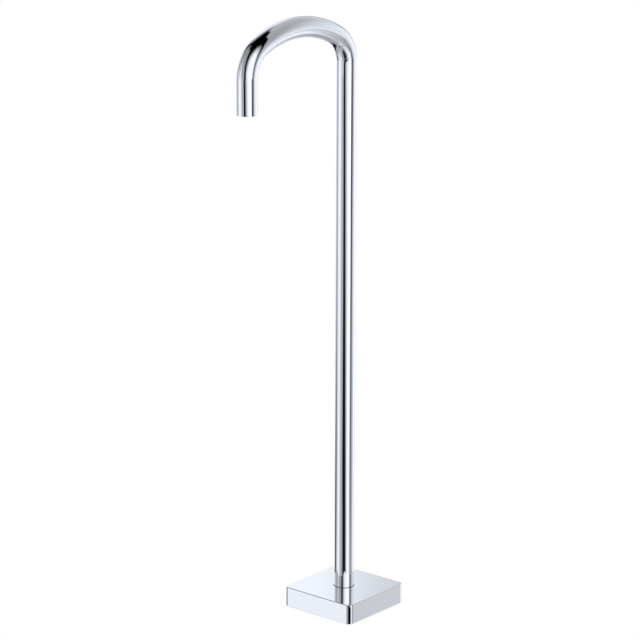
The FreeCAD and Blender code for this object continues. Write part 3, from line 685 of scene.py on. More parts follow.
turned_brass = brass("turned_brass", dark=(0.68, 0.46, 0.19), bright=(0.80, 0.60, 0.30), polish=0.20)
stem_low, stem_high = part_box("supply_stem")
washer_low, washer_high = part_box("thrust_washer")
guide_low, guide_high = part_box("stem_guide_rings")
seal_low, seal_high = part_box("stem_o_rings")
strainer_low, strainer_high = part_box("inlet_strainer")
lock_low, lock_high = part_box("locking_screws")
lock_height = (lock_low.z + lock_high.z) / 2
guide_middles = (guide_low.z + GUIDE_HEIGHT / 2, guide_high.z - GUIDE_HEIGHT / 2)
seal_middles = (seal_low.z + SEAL_THICKNESS / 2, seal_high.z - SEAL_THICKNESS / 2)
hexagon_top = washer_low.z
flats_half = stem_high.x
points_radius = flats_half / math.cos(math.radians(30))
relief_radius = INLET_RADIUS + INLET_RELIEF
thread_top = strainer_low.z - JOINT_GAP
grooves = [(lock_height, LOCK_GROOVE_HALF, LOCK_GROOVE_FLOOR)]
grooves += [(middle, GUIDE_HEIGHT / 2 + JOINT_GAP, GUIDE_GROOVE_FLOOR) for middle in guide_middles]
grooves += [(middle, SEAL_GROOVE_HALF, SEAL_GROOVE_FLOOR) for middle in seal_middles]

stem_outline = [
    (STEM_FOOT_RADIUS, stem_low.z),
    (STEM_FOOT_RADIUS, hub_top),
    (hexagon(flats_half, points_radius - FLATS_TURNED_DOWN), hub_top),
    (hexagon(flats_half, points_radius), hub_top + FLATS_TURNED_DOWN / 2),
    (hexagon(flats_half, points_radius), hexagon_top - FLATS_TURNED_DOWN / 2),
    (hexagon(flats_half, points_radius - FLATS_TURNED_DOWN), hexagon_top),
    (STEM_RADIUS, hexagon_top),
]
for middle, half, groove_floor in grooves:
    stem_outline += [
        (STEM_RADIUS, middle - half),
        (groove_floor, middle - half),
        (groove_floor, middle + half),
        (STEM_RADIUS, middle + half),
    ]
stem_outline += [
    (STEM_RADIUS, stem_high.z - STEM_CHAMFER),
    (STEM_RADIUS - STEM_CHAMFER, stem_high.z),
    (STEM_BORE, stem_high.z),
    (STEM_BORE, strainer_high.z + JOINT_GAP),
    (relief_radius, strainer_high.z + JOINT_GAP),
    (relief_radius, thread_top),
    (INLET_RADIUS, thread_top),
]
thread_rows = int((thread_top - stem_low.z) / THREAD_PITCH * THREAD_ROWS)
for row in range(1, thread_rows):
    level = thread_top + (stem_low.z - thread_top) * row / thread_rows
    run_out = min(1, (thread_top - level) / THREAD_PITCH)
    stem_outline.append((thread(INLET_RADIUS, THREAD_DEPTH, level, run_out), level))
stem_outline.append((INLET_RADIUS + THREAD_DEPTH, stem_low.z))
stem_mesh = turned(broken(stem_outline, TOOL_EDGE, steps=1))
smooth_over(stem_mesh, angle=28)
place_piece("turned_stem", stem_mesh, turned_brass, "floor_base", "brass", "supply_stem")

# ---- Inlet strainer -------------------------------------------------------------------------------
# A stainless sieve pressed into the recess above the inlet thread, to keep grit out of the aerator. It is
# one punched disc.
STRAINER_PITCH = 0.002
STRAINER_RINGS = 4
STRAINER_HOLE = 0.0007
STRAINER_HOLE_SIDES = 16
MERGE_WITHIN = 1e-6


def points_mesh(places):
    made = bpy.data.meshes.new("places")
    made.from_pydata([(x, y, 0) for x, y in places], [], [])
    return made


def hexagonal_places(pitch, rings):
    """One place in the middle, and rings of six, twelve and so on round it."""
    places = [(0, 0)]
    for ring in range(1, rings + 1):
        for sixth in range(6):
            for step in range(ring):
                place = Vector((ring - step / 2, step * math.sqrt(3) / 2)) * pitch
                place.rotate(Matrix.Rotation(math.radians(60 * sixth), 2))
                places.append(tuple(place))
    return places


plate_tree, plate_nodes, plate_given = add_tree("holed_disc", (
    ("Places", "Geometry"), ("Rim radius", "Float"), ("Rim sides", "Int"), ("Hole radius", "Float"),
    ("Hole sides", "Int"), ("Hole turn", "Float"), ("Thickness", "Float"), ("Finish", "Material")), "Disc")
rim_line = plate_nodes.add("GeometryNodeCurvePrimitiveCircle", None, {
    "Resolution": plate_given.out("Rim sides"), "Radius": plate_given.out("Rim radius")})
hole_line = plate_nodes.add("GeometryNodeCurvePrimitiveCircle", None, {
    "Resolution": plate_given.out("Hole sides"), "Radius": plate_given.out("Hole radius")})
holes = plate_nodes.add("GeometryNodeRealizeInstances", None, {
    "Geometry": plate_nodes.add("GeometryNodeInstanceOnPoints", None, {
        "Points": plate_given.out("Places"),
        "Instance": hole_line,
        "Rotation": plate_nodes.add("ShaderNodeCombineXYZ", None, {"Z": plate_given.out("Hole turn")})})})
sheet = plate_nodes.add("GeometryNodeFillCurve", None, {
    "Curve": plate_nodes.add("GeometryNodeJoinGeometry", None, {"Geometry": [rim_line, holes]})})
raised = plate_nodes.add("GeometryNodeExtrudeMesh", None, {
    "Mesh": sheet, "Offset Scale": plate_given.out("Thickness"), "Individual": False})
underside = plate_nodes.add("GeometryNodeFlipFaces", None, {"Mesh": sheet})
closed = plate_nodes.add("GeometryNodeMergeByDistance", None, {
    "Geometry": plate_nodes.add("GeometryNodeJoinGeometry", None, {"Geometry": [raised, underside]}),
    "Distance": MERGE_WITHIN})
end_tree(plate_nodes, "Disc", closed, plate_given.out("Finish"))


def holed_disc(places, rim_radius, hole_radius, hole_sides, hole_turn, thickness, at, finish):
    """A disc with holes, standing on the point at."""
    made = take_mesh(grow(plate_tree, points_mesh(places), {
        "Rim radius": rim_radius, "Rim sides": ROUND_SIDES,
        "Hole radius": hole_radius, "Hole sides": hole_sides, "Hole turn": hole_turn,
        "Thickness": thickness, "Finish": finish}))
    made.transform(Matrix.Translation(at))
    smooth_over(made)
    return made


sieve_steel = faced_steel("sieve_steel", dark=(0.52, 0.53, 0.54), bright=(0.63, 0.64, 0.65), polish=0.26)
strainer_mesh = holed_disc(
    hexagonal_places(STRAINER_PITCH, STRAINER_RINGS), rim_radius=strainer_high.x,
    hole_radius=STRAINER_HOLE, hole_sides=STRAINER_HOLE_SIDES, hole_turn=0.0,
    thickness=STRAINER_THICKNESS, at=(0, 0, strainer_low.z), finish=sieve_steel)
place_piece("inlet_sieve", strainer_mesh, sieve_steel, "floor_base", "sieve", "inlet_strainer")

# ---- Thrust washer and bearing bands --------------------------------------------------------------
# Moulded in white acetal, which slides on brass without grease. The riser's foot turns on the washer, and
# the two split bands are sprung into the stem's grooves to hold the riser upright.
MOULDED_EDGE = 0.0002
SPLIT_WIDTH = 0.002
GUIDE_THICKNESS = 0.0015


def acetal(name, dark, bright):
    """Unfilled acetal: a milky white plastic with a faint satin."""
    made, nodes = new_material(name)
    cloud = grain(nodes, scale=200.0)
    satin = grain(nodes, scale=4000.0)
    finish_material(nodes, {
        "Base Color": between(nodes, cloud, dark, bright),
        "Roughness": 0.36 + 0.12 * cloud,
        "Normal": relief(nodes, satin, strength=0.10, depth=0.00002)})
    return made


white_acetal = acetal("white_acetal", dark=(0.76, 0.76, 0.74), bright=(0.84, 0.84, 0.82))
washer_top = washer_high.z - JOINT_GAP
washer_mesh = turned(broken([
    (STEM_RADIUS + JOINT_GAP, washer_low.z),
    (washer_high.x, washer_low.z),
    (washer_high.x, washer_top),
    (STEM_RADIUS + JOINT_GAP, washer_top),
], MOULDED_EDGE))
smooth_over(washer_mesh)
place_piece("sliding_washer", washer_mesh, white_acetal, "floor_base", "acetal", "thrust_washer")

lowest_band = turned(broken([
    (guide_high.y - GUIDE_THICKNESS, guide_low.z),
    (guide_high.y, guide_low.z),
    (guide_high.y, guide_low.z + GUIDE_HEIGHT),
    (guide_high.y - GUIDE_THICKNESS, guide_low.z + GUIDE_HEIGHT),
], MOULDED_EDGE), opening=SPLIT_WIDTH / guide_high.y)
bands_mesh = copies(lowest_band, len(guide_middles), white_acetal, rise=guide_middles[1] - guide_middles[0])
smooth_over(bands_mesh)
place_piece("bearing_bands", bands_mesh, white_acetal, "floor_base", "acetal", "stem_guide_rings")

# ---- Stem O-rings ---------------------------------------------------------------------------------
# Two moulded rubber rings that keep the water in the riser. The socket's bore squeezes them a little, so
# they are flat where they touch it and where they lie in their grooves.
SQUEEZE = 0.93
SEAL_STEPS = 24


def rubber_ring_outline(middle_radius, middle_level, thickness):
    """A ring's section: a circle that is pressed flat on its inner and outer side."""
    half = thickness / 2
    outline = []
    for step in range(SEAL_STEPS):
        angle = 2 * math.pi * step / SEAL_STEPS
        sideways = max(-SQUEEZE, min(SQUEEZE, math.cos(angle))) / SQUEEZE
        outline.append((middle_radius + half * sideways, middle_level + half * math.sin(angle)))
    return outline


lowest_ring = turned(rubber_ring_outline(
    seal_high.y - SEAL_THICKNESS / 2, seal_middles[0], SEAL_THICKNESS))
seals_mesh = copies(lowest_ring, len(seal_middles), black_rubber, rise=seal_middles[1] - seal_middles[0])
smooth_over(seals_mesh, angle=60)
place_piece("sealing_rings", seals_mesh, black_rubber, "floor_base", "rubber", "stem_o_rings")

# ---- Riser socket ---------------------------------------------------------------------------------
# A brass sleeve brazed in the riser's foot. Its bore runs on the bands and the O-rings, its lip stands on
# the washer, and the three set screws go through its wall.
SOCKET_BORE = 0.01305
SOCKET_LIP_HEIGHT = 0.0015
LOCK_HOLES = 3
LOCK_HOLE_RADIUS = 0.003
LOCK_DRILL_LENGTH = 0.012
TUBE_WALL = 0.0015
tube_low, tube_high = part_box("spout_tube")
tube_radius = tube_high.x
socket_low, socket_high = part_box("riser_socket")
socket_outside = tube_radius - TUBE_WALL - JOINT_GAP
lip_top = socket_low.z + SOCKET_LIP_HEIGHT
# The set screws lie on this line, which points from the riser's axis to +Y.
lock_line = Matrix.Translation((0, 0, lock_height)) @ Matrix.Rotation(math.radians(-90), 4, "X")
lock_drill = rod(LOCK_HOLE_RADIUS, LOCK_DRILL_LENGTH, lock_line @ Matrix.Translation((0, 0, tube_radius)))
lock_drills = copies(lock_drill, LOCK_HOLES, turn=360 / LOCK_HOLES)
socket_mesh = turned(broken([
    (SOCKET_BORE, socket_low.z),
    (socket_high.x, socket_low.z),
    (socket_high.x, lip_top),
    (socket_outside, lip_top),
    (socket_outside, socket_high.z),
    (SOCKET_BORE + STEM_CHAMFER, socket_high.z),
    (SOCKET_BORE, socket_high.z - STEM_CHAMFER),
], TOOL_EDGE))
socket_mesh = carve(socket_mesh, lock_drills)
smooth_over(socket_mesh)
place_piece("foot_socket", socket_mesh, turned_brass, "spout", "brass", "riser_socket")

# ---- Bent tube ------------------------------------------------------------------------------------
# One length of brass tube, bent in a plane by three arcs, ground, polished and chrome plated. Its foot
# has three holes for the set screws, and its mouth is cut square and broken at the edge.
SPRINGING_HEIGHT = 0.962
CORNER_RADIUS = 0.0525
CROWN_RADIUS = 0.215
DROP_LENGTH = 0.058
MOUTH_EDGE = 0.0003
MOUTH_EDGE_STEPS = 3
BEND_STEPS = 44
ABOVE_LOCK_HOLES = 0.012
BEFORE_BEND = 0.002
CUT_ANGLE = 60
PLATED = (0.967, 0.967, 0.967)
HAZED = 0.985


def chrome(name, tone, haze, ripple):
    """Polished chrome plating: a trace of haze in patches, and the slow ripple that polishing leaves."""
    made, nodes = new_material(name)
    patches = grain(nodes, scale=22.0, detail=3.0)
    wipes = grain(nodes, scale=9.0, detail=1.0)
    finish_material(nodes, {
        "Base Color": between(nodes, patches, tuple(part * HAZED for part in tone), tone),
        "Metallic": 1.0,
        "Roughness": haze * (0.7 + 0.6 * patches),
        "Normal": relief(nodes, wipes, strength=ripple, depth=0.001)})
    return made


tube_chrome = chrome("tube_chrome", tone=PLATED, haze=0.012, ripple=0.010)
reach = -tube_low.y - tube_radius
mouth_height = SPRINGING_HEIGHT - DROP_LENGTH
# The corners that the straight runs would meet in if they weren't bent, each with its bending radius.
bend_turn = math.acos((reach / 2 - CORNER_RADIUS) / (CROWN_RADIUS - CORNER_RADIUS))
crown_centre = SPRINGING_HEIGHT - (CROWN_RADIUS - CORNER_RADIUS) * math.sin(bend_turn)
corner_height = SPRINGING_HEIGHT + CORNER_RADIUS * math.tan(bend_turn / 2)
peak_height = crown_centre + CROWN_RADIUS / math.sin(bend_turn)
straight_end = SPRINGING_HEIGHT - BEFORE_BEND
# The arcs stop a hair short of touching, so that no step of the tube has no length.
ALMOST = 0.9998
route = [
    (0, tube_low.z, 0),
    (0, tube_low.z + 2 * MOUTH_EDGE, 0),
    (0, lock_height + ABOVE_LOCK_HOLES, 0),
    (0, straight_end, 0),
    (0, corner_height, CORNER_RADIUS * ALMOST),
    (-reach / 2, peak_height, CROWN_RADIUS * ALMOST),
    (-reach, corner_height, CORNER_RADIUS * ALMOST),
    (-reach, straight_end, 0),
    (-reach, mouth_height + 2 * MOUTH_EDGE, 0),
    (-reach, mouth_height, 0),
]
route_mesh = bpy.data.meshes.new("route")
route_mesh.from_pydata(
    [(0, y, z) for y, z, _ in route], [(step, step + 1) for step in range(len(route) - 1)], [])
bending = route_mesh.attributes.new("bending_radius", "FLOAT", "POINT")
bending.data.foreach_set("value", [radius for _, _, radius in route])

tube_tree, bend, bend_given = add_tree("bent_tube", (
    ("Route", "Geometry"), ("Tube radius", "Float"), ("Sides", "Int"), ("Steps in a bend", "Int"),
    ("Finish", "Material")), "Tube")
line = bend.add("GeometryNodeMeshToCurve", None, {"Mesh": bend_given.out("Route")})
bent_line = bend.add("GeometryNodeFilletCurve", {"mode": "POLY"}, {
    "Curve": line,
    "Count": bend_given.out("Steps in a bend"),
    "Radius": bend.add("GeometryNodeInputNamedAttribute", None, {"Name": "bending_radius"})})
section = bend.add("GeometryNodeCurvePrimitiveCircle", None, {
    "Resolution": bend_given.out("Sides"), "Radius": bend_given.out("Tube radius")})
end_tree(bend, "Tube", bend.add("GeometryNodeCurveToMesh", None, {
    "Curve": bent_line, "Profile Curve": section}), bend_given.out("Finish"))

tube_carrier = grow(tube_tree, route_mesh, {
    "Tube radius": tube_radius, "Sides": WIDE_ROUND_SIDES, "Steps in a bend": BEND_STEPS,
    "Finish": tube_chrome})
wall = tube_carrier.modifiers.new("wall", "SOLIDIFY")
wall.thickness = TUBE_WALL
wall.offset = -1
edge = tube_carrier.modifiers.new("mouth_edge", "BEVEL")
edge.width = MOUTH_EDGE
edge.segments = MOUTH_EDGE_STEPS
edge.limit_method = "ANGLE"
edge.angle_limit = math.radians(CUT_ANGLE)
tube_mesh = carve(take_mesh(tube_carrier), lock_drills)
smooth_over(tube_mesh)
place_piece("bent_tube", tube_mesh, tube_chrome, "spout", "chrome", "spout_tube")

# ---- Set screws -----------------------------------------------------------------------------------
# Three headless stainless screws, each with a plain nose that runs in the stem's ring groove and a hexagon
# socket for the key, so that the spout turns but can't be pulled off.
SCREW_RADIUS = 0.00295
SCREW_THREAD_DEPTH = 0.0004
SCREW_THREAD_PITCH = 0.0007
NOSE_RADIUS = 0.0019
NOSE_TIP = 0.0119
NOSE_EDGE = 0.0002
KEY_HALF = 0.0015
KEY_DEPTH = 0.0022
SCREW_SIDES = 48

screw_steel = faced_steel("screw_steel", dark=(0.38, 0.38, 0.40), bright=(0.50, 0.50, 0.52), polish=0.24)
screw_outer = lock_high.y
threads = int((screw_outer - SOCKET_BORE) / SCREW_THREAD_PITCH)
screw_outline = [
    (NOSE_RADIUS - NOSE_EDGE, NOSE_TIP), (NOSE_RADIUS, NOSE_TIP + NOSE_EDGE), (NOSE_RADIUS, SOCKET_BORE)]
for turn in range(threads):
    low = SOCKET_BORE + SCREW_THREAD_PITCH * turn
    screw_outline += [
        (SCREW_RADIUS - SCREW_THREAD_DEPTH, low), (SCREW_RADIUS, low + SCREW_THREAD_PITCH / 2)]
screw_outline += [
    (SCREW_RADIUS - SCREW_THREAD_DEPTH, screw_outer),
    (hexagon(KEY_HALF + NOSE_EDGE), screw_outer),
    (hexagon(KEY_HALF), screw_outer - NOSE_EDGE),
    (hexagon(KEY_HALF), screw_outer - KEY_DEPTH),
]
first_screw = turned(screw_outline, sides=SCREW_SIDES, solid=True)
first_screw.transform(lock_line)
screws_mesh = copies(first_screw, LOCK_HOLES, screw_steel, turn=360 / LOCK_HOLES)
smooth_over(screws_mesh, angle=30)
place_piece("lock_screws", screws_mesh, screw_steel, "spout", "steel", "locking_screws")

# ---- Outlet sleeve --------------------------------------------------------------------------------
# A brass sleeve brazed in the mouth of the drop leg, set back from the edge. It carries the thread that the
# aerator is screwed into, and a shoulder for the aerator's washer.
SHOULDER_WIDTH = 0.002
sleeve_low, sleeve_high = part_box("outlet_sleeve")
housing_low, housing_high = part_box("aerator_housing")
aerator_washer_low, aerator_washer_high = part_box("aerator_washer")
outlet = (0, -reach)
sleeve_bore = housing_high.x + JOINT_GAP
shoulder_bore = sleeve_bore - SHOULDER_WIDTH
shoulder_level = aerator_washer_high.z
sleeve_mesh = turned(broken([
    (sleeve_bore, sleeve_low.z),
    (sleeve_high.x, sleeve_low.z),
    (sleeve_high.x, sleeve_high.z),
    (shoulder_bore, sleeve_high.z),
    (shoulder_bore, shoulder_level),
    (sleeve_bore, shoulder_level),
], TOOL_EDGE), centre=outlet)
smooth_over(sleeve_mesh)
place_piece("mouth_sleeve", sleeve_mesh, turned_brass, "spout", "brass", "outlet_sleeve")

# ---- Aerator housing ------------------------------------------------------------------------------
# A turned brass ring, chrome plated, that screws up into the mouth and holds the aerator's discs on its
# lip. Six notches in its face take the aerator key.
HOUSING_WALL = 0.002
HOUSING_LIP = 0.001
NOTCHES = 6
NOTCH_WIDTH = 0.004
NOTCH_DEPTH = 0.0012

aerator_chrome = chrome("aerator_chrome", tone=(0.90, 0.90, 0.91), haze=0.10, ripple=0.02)
comb_low, comb_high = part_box("flow_straightener")
housing_bore = housing_high.x - HOUSING_WALL
housing_mesh = turned(broken([
    (housing_bore - HOUSING_LIP, housing_low.z),
    (housing_high.x, housing_low.z),
    (housing_high.x, housing_high.z),
    (housing_bore, housing_high.z),
    (housing_bore, comb_low.z),
    (housing_bore - HOUSING_LIP, comb_low.z),
], TOOL_EDGE), centre=outlet)
notch = bmesh.new()
bmesh.ops.create_cube(notch, size=1, matrix=(
    Matrix.Translation((housing_high.x, 0, housing_low.z))
    @ Matrix.Diagonal((HOUSING_WALL, NOTCH_WIDTH, 2 * NOTCH_DEPTH, 1))))
key_cutters = copies(new_mesh(notch), NOTCHES, turn=360 / NOTCHES)
key_cutters.transform(Matrix.Translation((0, -reach, 0)))
housing_mesh = carve(housing_mesh, key_cutters)
smooth_over(housing_mesh)
place_piece("aerator_ring", housing_mesh, aerator_chrome, "spout", "aerator_chrome", "aerator_housing")

# ---- Aerator washer -------------------------------------------------------------------------------
# A flat ring stamped from black rubber sheet. The housing presses it up against the sleeve's shoulder, so
# that no water gets past the aerator.
washer_mesh = turned(broken([
    (shoulder_bore, aerator_washer_low.z),
    (aerator_washer_high.x, aerator_washer_low.z),
    (aerator_washer_high.x, aerator_washer_high.z),
    (shoulder_bore, aerator_washer_high.z),
], MOULDED_EDGE), centre=outlet)
smooth_over(washer_mesh)
place_piece("flat_washer", washer_mesh, black_rubber, "spout", "rubber", "aerator_washer")

# ---- Flow restrictor and jet plate ----------------------------------------------------------------
# Two acetal mouldings above the screens: the restrictor sets the flow, and the jet plate parts it into
# twelve jets. Both stay as they come from the frame.
for node in ("flow_restrictor", "jet_plate"):
    for material_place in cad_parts[node].material_slots:
        material_place.material = white_acetal

# ---- Mixing screens -------------------------------------------------------------------------------
# Two discs of woven stainless wire in crimped rims, one over the other and turned by an eighth, where air
# mixes into the jets.
WIRE_PITCH = 0.001
WIRE_RADIUS = 0.00014
SCREEN_RIM = 0.0016
SCREEN_THICKNESS = 0.0008
SCREEN_TURN = 45
WIRE_SIDES = 5
screen_low, screen_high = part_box("mixing_screens")

weave_tree, weave, weave_given = add_tree("woven_wire", (
    ("Wires", "Geometry"), ("Pitch", "Float"), ("Wire radius", "Float"), ("Sides", "Int"),
    ("Finish", "Material")), "Mesh")
pitch = weave_given.out("Pitch")
wire_radius = weave_given.out("Wire radius")
straight = weave.add("GeometryNodeMeshToCurve", None, {"Mesh": weave_given.out("Wires")})
stepped = weave.add("GeometryNodeResampleCurve", {"mode": "LENGTH"}, {
    "Curve": straight, "Length": pitch / 4})
at = weave.add("ShaderNodeSeparateXYZ", None, {"Vector": weave.add("GeometryNodeInputPosition")})
over = (math.pi * (at.out("X") + at.out("Y")) / pitch).math("COSINE")
side = weave.add("GeometryNodeInputNamedAttribute", None, {"Name": "side"})
woven = weave.add("GeometryNodeSetPosition", None, {
    "Geometry": stepped,
    "Offset": weave.add("ShaderNodeCombineXYZ", None, {"Z": over * side * wire_radius})})
wire_section = weave.add("GeometryNodeCurvePrimitiveCircle", None, {
    "Resolution": weave_given.out("Sides"), "Radius": wire_radius})
end_tree(weave, "Mesh", weave.add("GeometryNodeCurveToMesh", None, {
    "Curve": woven, "Profile Curve": wire_section, "Fill Caps": True}), weave_given.out("Finish"))

field = screen_high.x - SCREEN_RIM / 2
ends = []
sides_of_wires = []
wires_each_side = int(field / WIRE_PITCH)
for wire in range(-wires_each_side, wires_each_side + 1):
    offset = wire * WIRE_PITCH
    half = math.sqrt(field ** 2 - offset ** 2)
    ends += [(-half, offset, 0), (half, offset, 0), (offset, -half, 0), (offset, half, 0)]
    sides_of_wires += [1, 1, -1, -1]
wires_mesh = bpy.data.meshes.new("wires")
wires_mesh.from_pydata(ends, [(end, end + 1) for end in range(0, len(ends), 2)], [])
wires_mesh.attributes.new("side", "FLOAT", "POINT").data.foreach_set("value", sides_of_wires)
cloth = take_mesh(grow(weave_tree, wires_mesh, {
    "Pitch": WIRE_PITCH, "Wire radius": WIRE_RADIUS, "Sides": WIRE_SIDES, "Finish": sieve_steel}))
screens = bmesh.new()
for turn, low in ((0, screen_low.z), (SCREEN_TURN, screen_high.z - SCREEN_THICKNESS)):
    disc = cloth.copy()
    disc.transform(
        Matrix.Translation((0, -reach, low + SCREEN_THICKNESS / 2))
        @ Matrix.Rotation(math.radians(turn), 4, "Z"))
    screens.from_mesh(disc)
    screens.from_mesh(turned(broken([
        (screen_high.x - SCREEN_RIM, low),
        (screen_high.x, low),
        (screen_high.x, low + SCREEN_THICKNESS),
        (screen_high.x - SCREEN_RIM, low + SCREEN_THICKNESS),
    ], MOULDED_EDGE), centre=outlet))
screens_mesh = new_mesh(screens)
smooth_over(screens_mesh, angle=50)
place_piece("wire_screens", screens_mesh, sieve_steel, "spout", "sieve", "mixing_screens")

# ---- Flow straightener ----------------------------------------------------------------------------
# The honeycomb that shows in the mouth: an acetal disc with thirty-seven six-sided cells, which brings the
# bubbly jets together into one even stream.
COMB_RIM = 0.0009
COMB_WALL = 0.0005
COMB_RINGS = 3
# The farthest corner of the outermost cell touches the rim.
comb_pitch = (comb_high.x - COMB_RIM) / math.hypot(COMB_RINGS + 0.5, 0.5 / math.sqrt(3))
comb_mesh = holed_disc(
    hexagonal_places(comb_pitch, COMB_RINGS), rim_radius=comb_high.x,
    hole_radius=(comb_pitch - COMB_WALL) / math.sqrt(3), hole_sides=6, hole_turn=math.radians(30),
    thickness=comb_high.z - comb_low.z, at=(0, -reach, comb_low.z), finish=white_acetal)
place_piece("honeycomb", comb_mesh, white_acetal, "spout", "acetal", "flow_straightener")

# ---- Square cover ---------------------------------------------------------------------------------
# Pressed from 2 mm sheet, polished and chrome plated: a box with no floor, its upright corners at 10 mm
# and its top edge just broken. It lies over the riser's fixing, with a round hole for the tube.
COVER_WALL = 0.002
COVER_CORNER = 0.010
COVER_EDGE = 0.0012
COVER_RIM = 0.0003
CORNER_STEPS = 20
EDGE_STEPS = 6
HOLE_GAP = 0.0008
LARGE_FACES_LEAD = 100
_, cover_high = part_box("cover_shell")
cover_half = cover_high.x
cover_top = cover_high.z
ceiling = cover_top - COVER_WALL
hole_radius = tube_radius + HOLE_GAP


def square_ring(shape, half, corner, level):
    """A closed ring of points round a square with round corners."""
    ring = []
    first_centre = Vector((half - corner, half - corner, 0))
    for quarter in range(4):
        centre = Matrix.Rotation(math.radians(90 * quarter), 3, "Z") @ first_centre
        for step in range(CORNER_STEPS + 1):
            angle = math.radians(90) * (quarter + step / CORNER_STEPS)
            out = Vector((math.cos(angle), math.sin(angle), 0)) * corner
            ring.append(shape.verts.new((centre + out) + Vector((0, 0, level))))
    return ring


def round_ring(shape, radius, level, like):
    """A circle of points, each on the bearing of its neighbour in the square ring."""
    ring = []
    for vert in like:
        flat = Vector((vert.co.x, vert.co.y)).normalized() * radius
        ring.append(shape.verts.new((flat.x, flat.y, level)))
    return ring


cover_chrome = chrome("cover_chrome", tone=PLATED, haze=0.012, ripple=0.008)
shape = bmesh.new()
inside_half = cover_half - COVER_WALL
inside_corner = COVER_CORNER - COVER_WALL
rings = [
    square_ring(shape, inside_half, inside_corner, ceiling),
    square_ring(shape, inside_half, inside_corner, COVER_RIM),
    square_ring(shape, inside_half + COVER_RIM, inside_corner + COVER_RIM, 0),
    square_ring(shape, cover_half - COVER_RIM, COVER_CORNER - COVER_RIM, 0),
    square_ring(shape, cover_half, COVER_CORNER, COVER_RIM),
    # A second ring close above it keeps the upright faces flat, so that they mirror like flat metal.
    square_ring(shape, cover_half, COVER_CORNER, 2 * COVER_RIM),
]
for step in range(EDGE_STEPS + 1):
    turn = math.radians(90) * step / EDGE_STEPS
    inset = COVER_EDGE * (1 - math.cos(turn))
    rings.append(square_ring(
        shape, cover_half - inset, COVER_CORNER - inset, cover_top - COVER_EDGE * (1 - math.sin(turn))))
rings += [
    round_ring(shape, hole_radius + COVER_RIM, cover_top, rings[-1]),
    round_ring(shape, hole_radius, cover_top - COVER_RIM, rings[-1]),
    round_ring(shape, hole_radius, ceiling, rings[-1]),
]
for first, second in zip(rings, rings[1:] + rings[:1]):
    join_rings(shape, first, second)
cover_mesh = new_mesh(shape)
smooth_over(cover_mesh, angle=50)
cover_carrier = carrier_for(cover_mesh)
flats = cover_carrier.modifiers.new("flat_faces", "WEIGHTED_NORMAL")
flats.keep_sharp = True
flats.weight = LARGE_FACES_LEAD
place_piece("square_cover", take_mesh(cover_carrier), cover_chrome, "cover", "cover_chrome", "cover_shell")

# ---- Cover neck -----------------------------------------------------------------------------------
# A brass ring brazed under the cover's hole. It guides the cover on the riser, and its groove holds the
# ring that grips the tube.
neck_low, neck_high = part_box("cover_neck")
ring_low, ring_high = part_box("cover_o_ring")
groove_outside = ring_high.x + JOINT_GAP
neck_mesh = turned(broken([
    (hole_radius, neck_low.z),
    (neck_high.x, neck_low.z),
    (neck_high.x, neck_high.z),
    (groove_outside, neck_high.z),
    (groove_outside, ring_low.z),
    (hole_radius, ring_low.z),
], TOOL_EDGE))
smooth_over(neck_mesh)
place_piece("guide_neck", neck_mesh, turned_brass, "cover", "brass", "cover_neck")

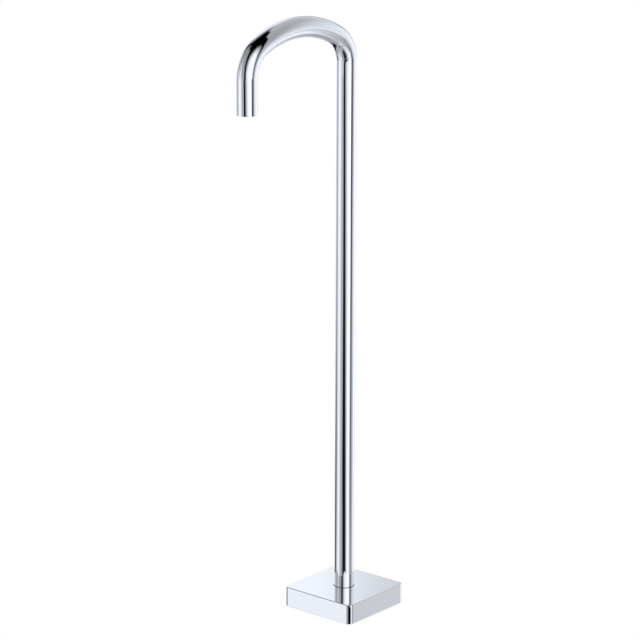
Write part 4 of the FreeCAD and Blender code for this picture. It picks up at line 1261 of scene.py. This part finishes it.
# ---- Grip ring ------------------------------------------------------------------------------------
# Moulded rubber: a round body in the neck's groove that grips the tube, and a thin lip that comes up
# through the gap and stands half a millimetre over the cover's top, a dark line round the tube.
LIP_HEIGHT = 0.0005
LIP_EDGE = 0.0002
LIP_CLEARANCE = 0.0001
GRIP_STEPS = 24
grip_inside = tube_radius + JOINT_GAP
grip_half = (ring_high.z - ring_low.z) / 2
grip_middle = (grip_inside + grip_half, ring_low.z + grip_half)
grip_top = cover_top + LIP_HEIGHT
lip_outside = hole_radius - LIP_CLEARANCE
lip_from = math.acos((lip_outside - grip_middle[0]) / grip_half)
grip_outline = [
    (grip_inside, grip_top),
    (lip_outside - LIP_EDGE, grip_top),
    (lip_outside, grip_top - LIP_EDGE),
]
for step in range(GRIP_STEPS + 1):
    angle = lip_from - (lip_from + math.pi) * step / GRIP_STEPS
    grip_outline.append((
        grip_middle[0] + grip_half * math.cos(angle), grip_middle[1] + grip_half * math.sin(angle)))
grip_mesh = turned(grip_outline, sides=WIDE_ROUND_SIDES)
smooth_over(grip_mesh, angle=50)
place_piece("grip_ring", grip_mesh, black_rubber, "cover", "rubber", "cover_o_ring")

# ---- Rim strip ------------------------------------------------------------------------------------
# Closed-cell foam, stuck inside the cover's rim, so that the metal doesn't scrape the floor and dirt stays
# out.
STRIP_THICKNESS = 0.0015
STRIP_EDGE = 0.0003


def foam(name, dark, pale):
    """Closed-cell foam, cut through its cells."""
    made, nodes = new_material(name)
    place = nodes.add("ShaderNodeTexCoord").out("Object")
    cells = nodes.add("ShaderNodeTexVoronoi", None, {"Vector": place, "Scale": 1600.0})
    finish_material(nodes, {
        "Base Color": between(nodes, grain(nodes, scale=500.0), dark, pale),
        "Roughness": 0.80 + 0.15 * cells.out("Distance"),
        "Normal": relief(nodes, cells.out("Distance"), strength=0.60, depth=0.0002)})
    return made


strip_low, strip_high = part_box("cover_rim_seal")
strip_corner = inside_corner - (inside_half - strip_high.x)
shape = bmesh.new()
rings = []
for inset, level in (
        (STRIP_EDGE, strip_low.z), (0, strip_low.z + STRIP_EDGE), (0, strip_high.z - STRIP_EDGE),
        (STRIP_EDGE, strip_high.z), (STRIP_THICKNESS - STRIP_EDGE, strip_high.z),
        (STRIP_THICKNESS, strip_high.z - STRIP_EDGE), (STRIP_THICKNESS, strip_low.z + STRIP_EDGE),
        (STRIP_THICKNESS - STRIP_EDGE, strip_low.z)):
    rings.append(square_ring(shape, strip_high.x - inset, strip_corner - inset, level))
for first, second in zip(rings, rings[1:] + rings[:1]):
    join_rings(shape, first, second)
strip_mesh = new_mesh(shape)
smooth_over(strip_mesh, angle=50)
black_foam = foam("black_foam", dark=(0.030, 0.030, 0.032), pale=(0.055, 0.055, 0.058))
place_piece("rim_strip", strip_mesh, black_foam, "cover", "foam", "cover_rim_seal")
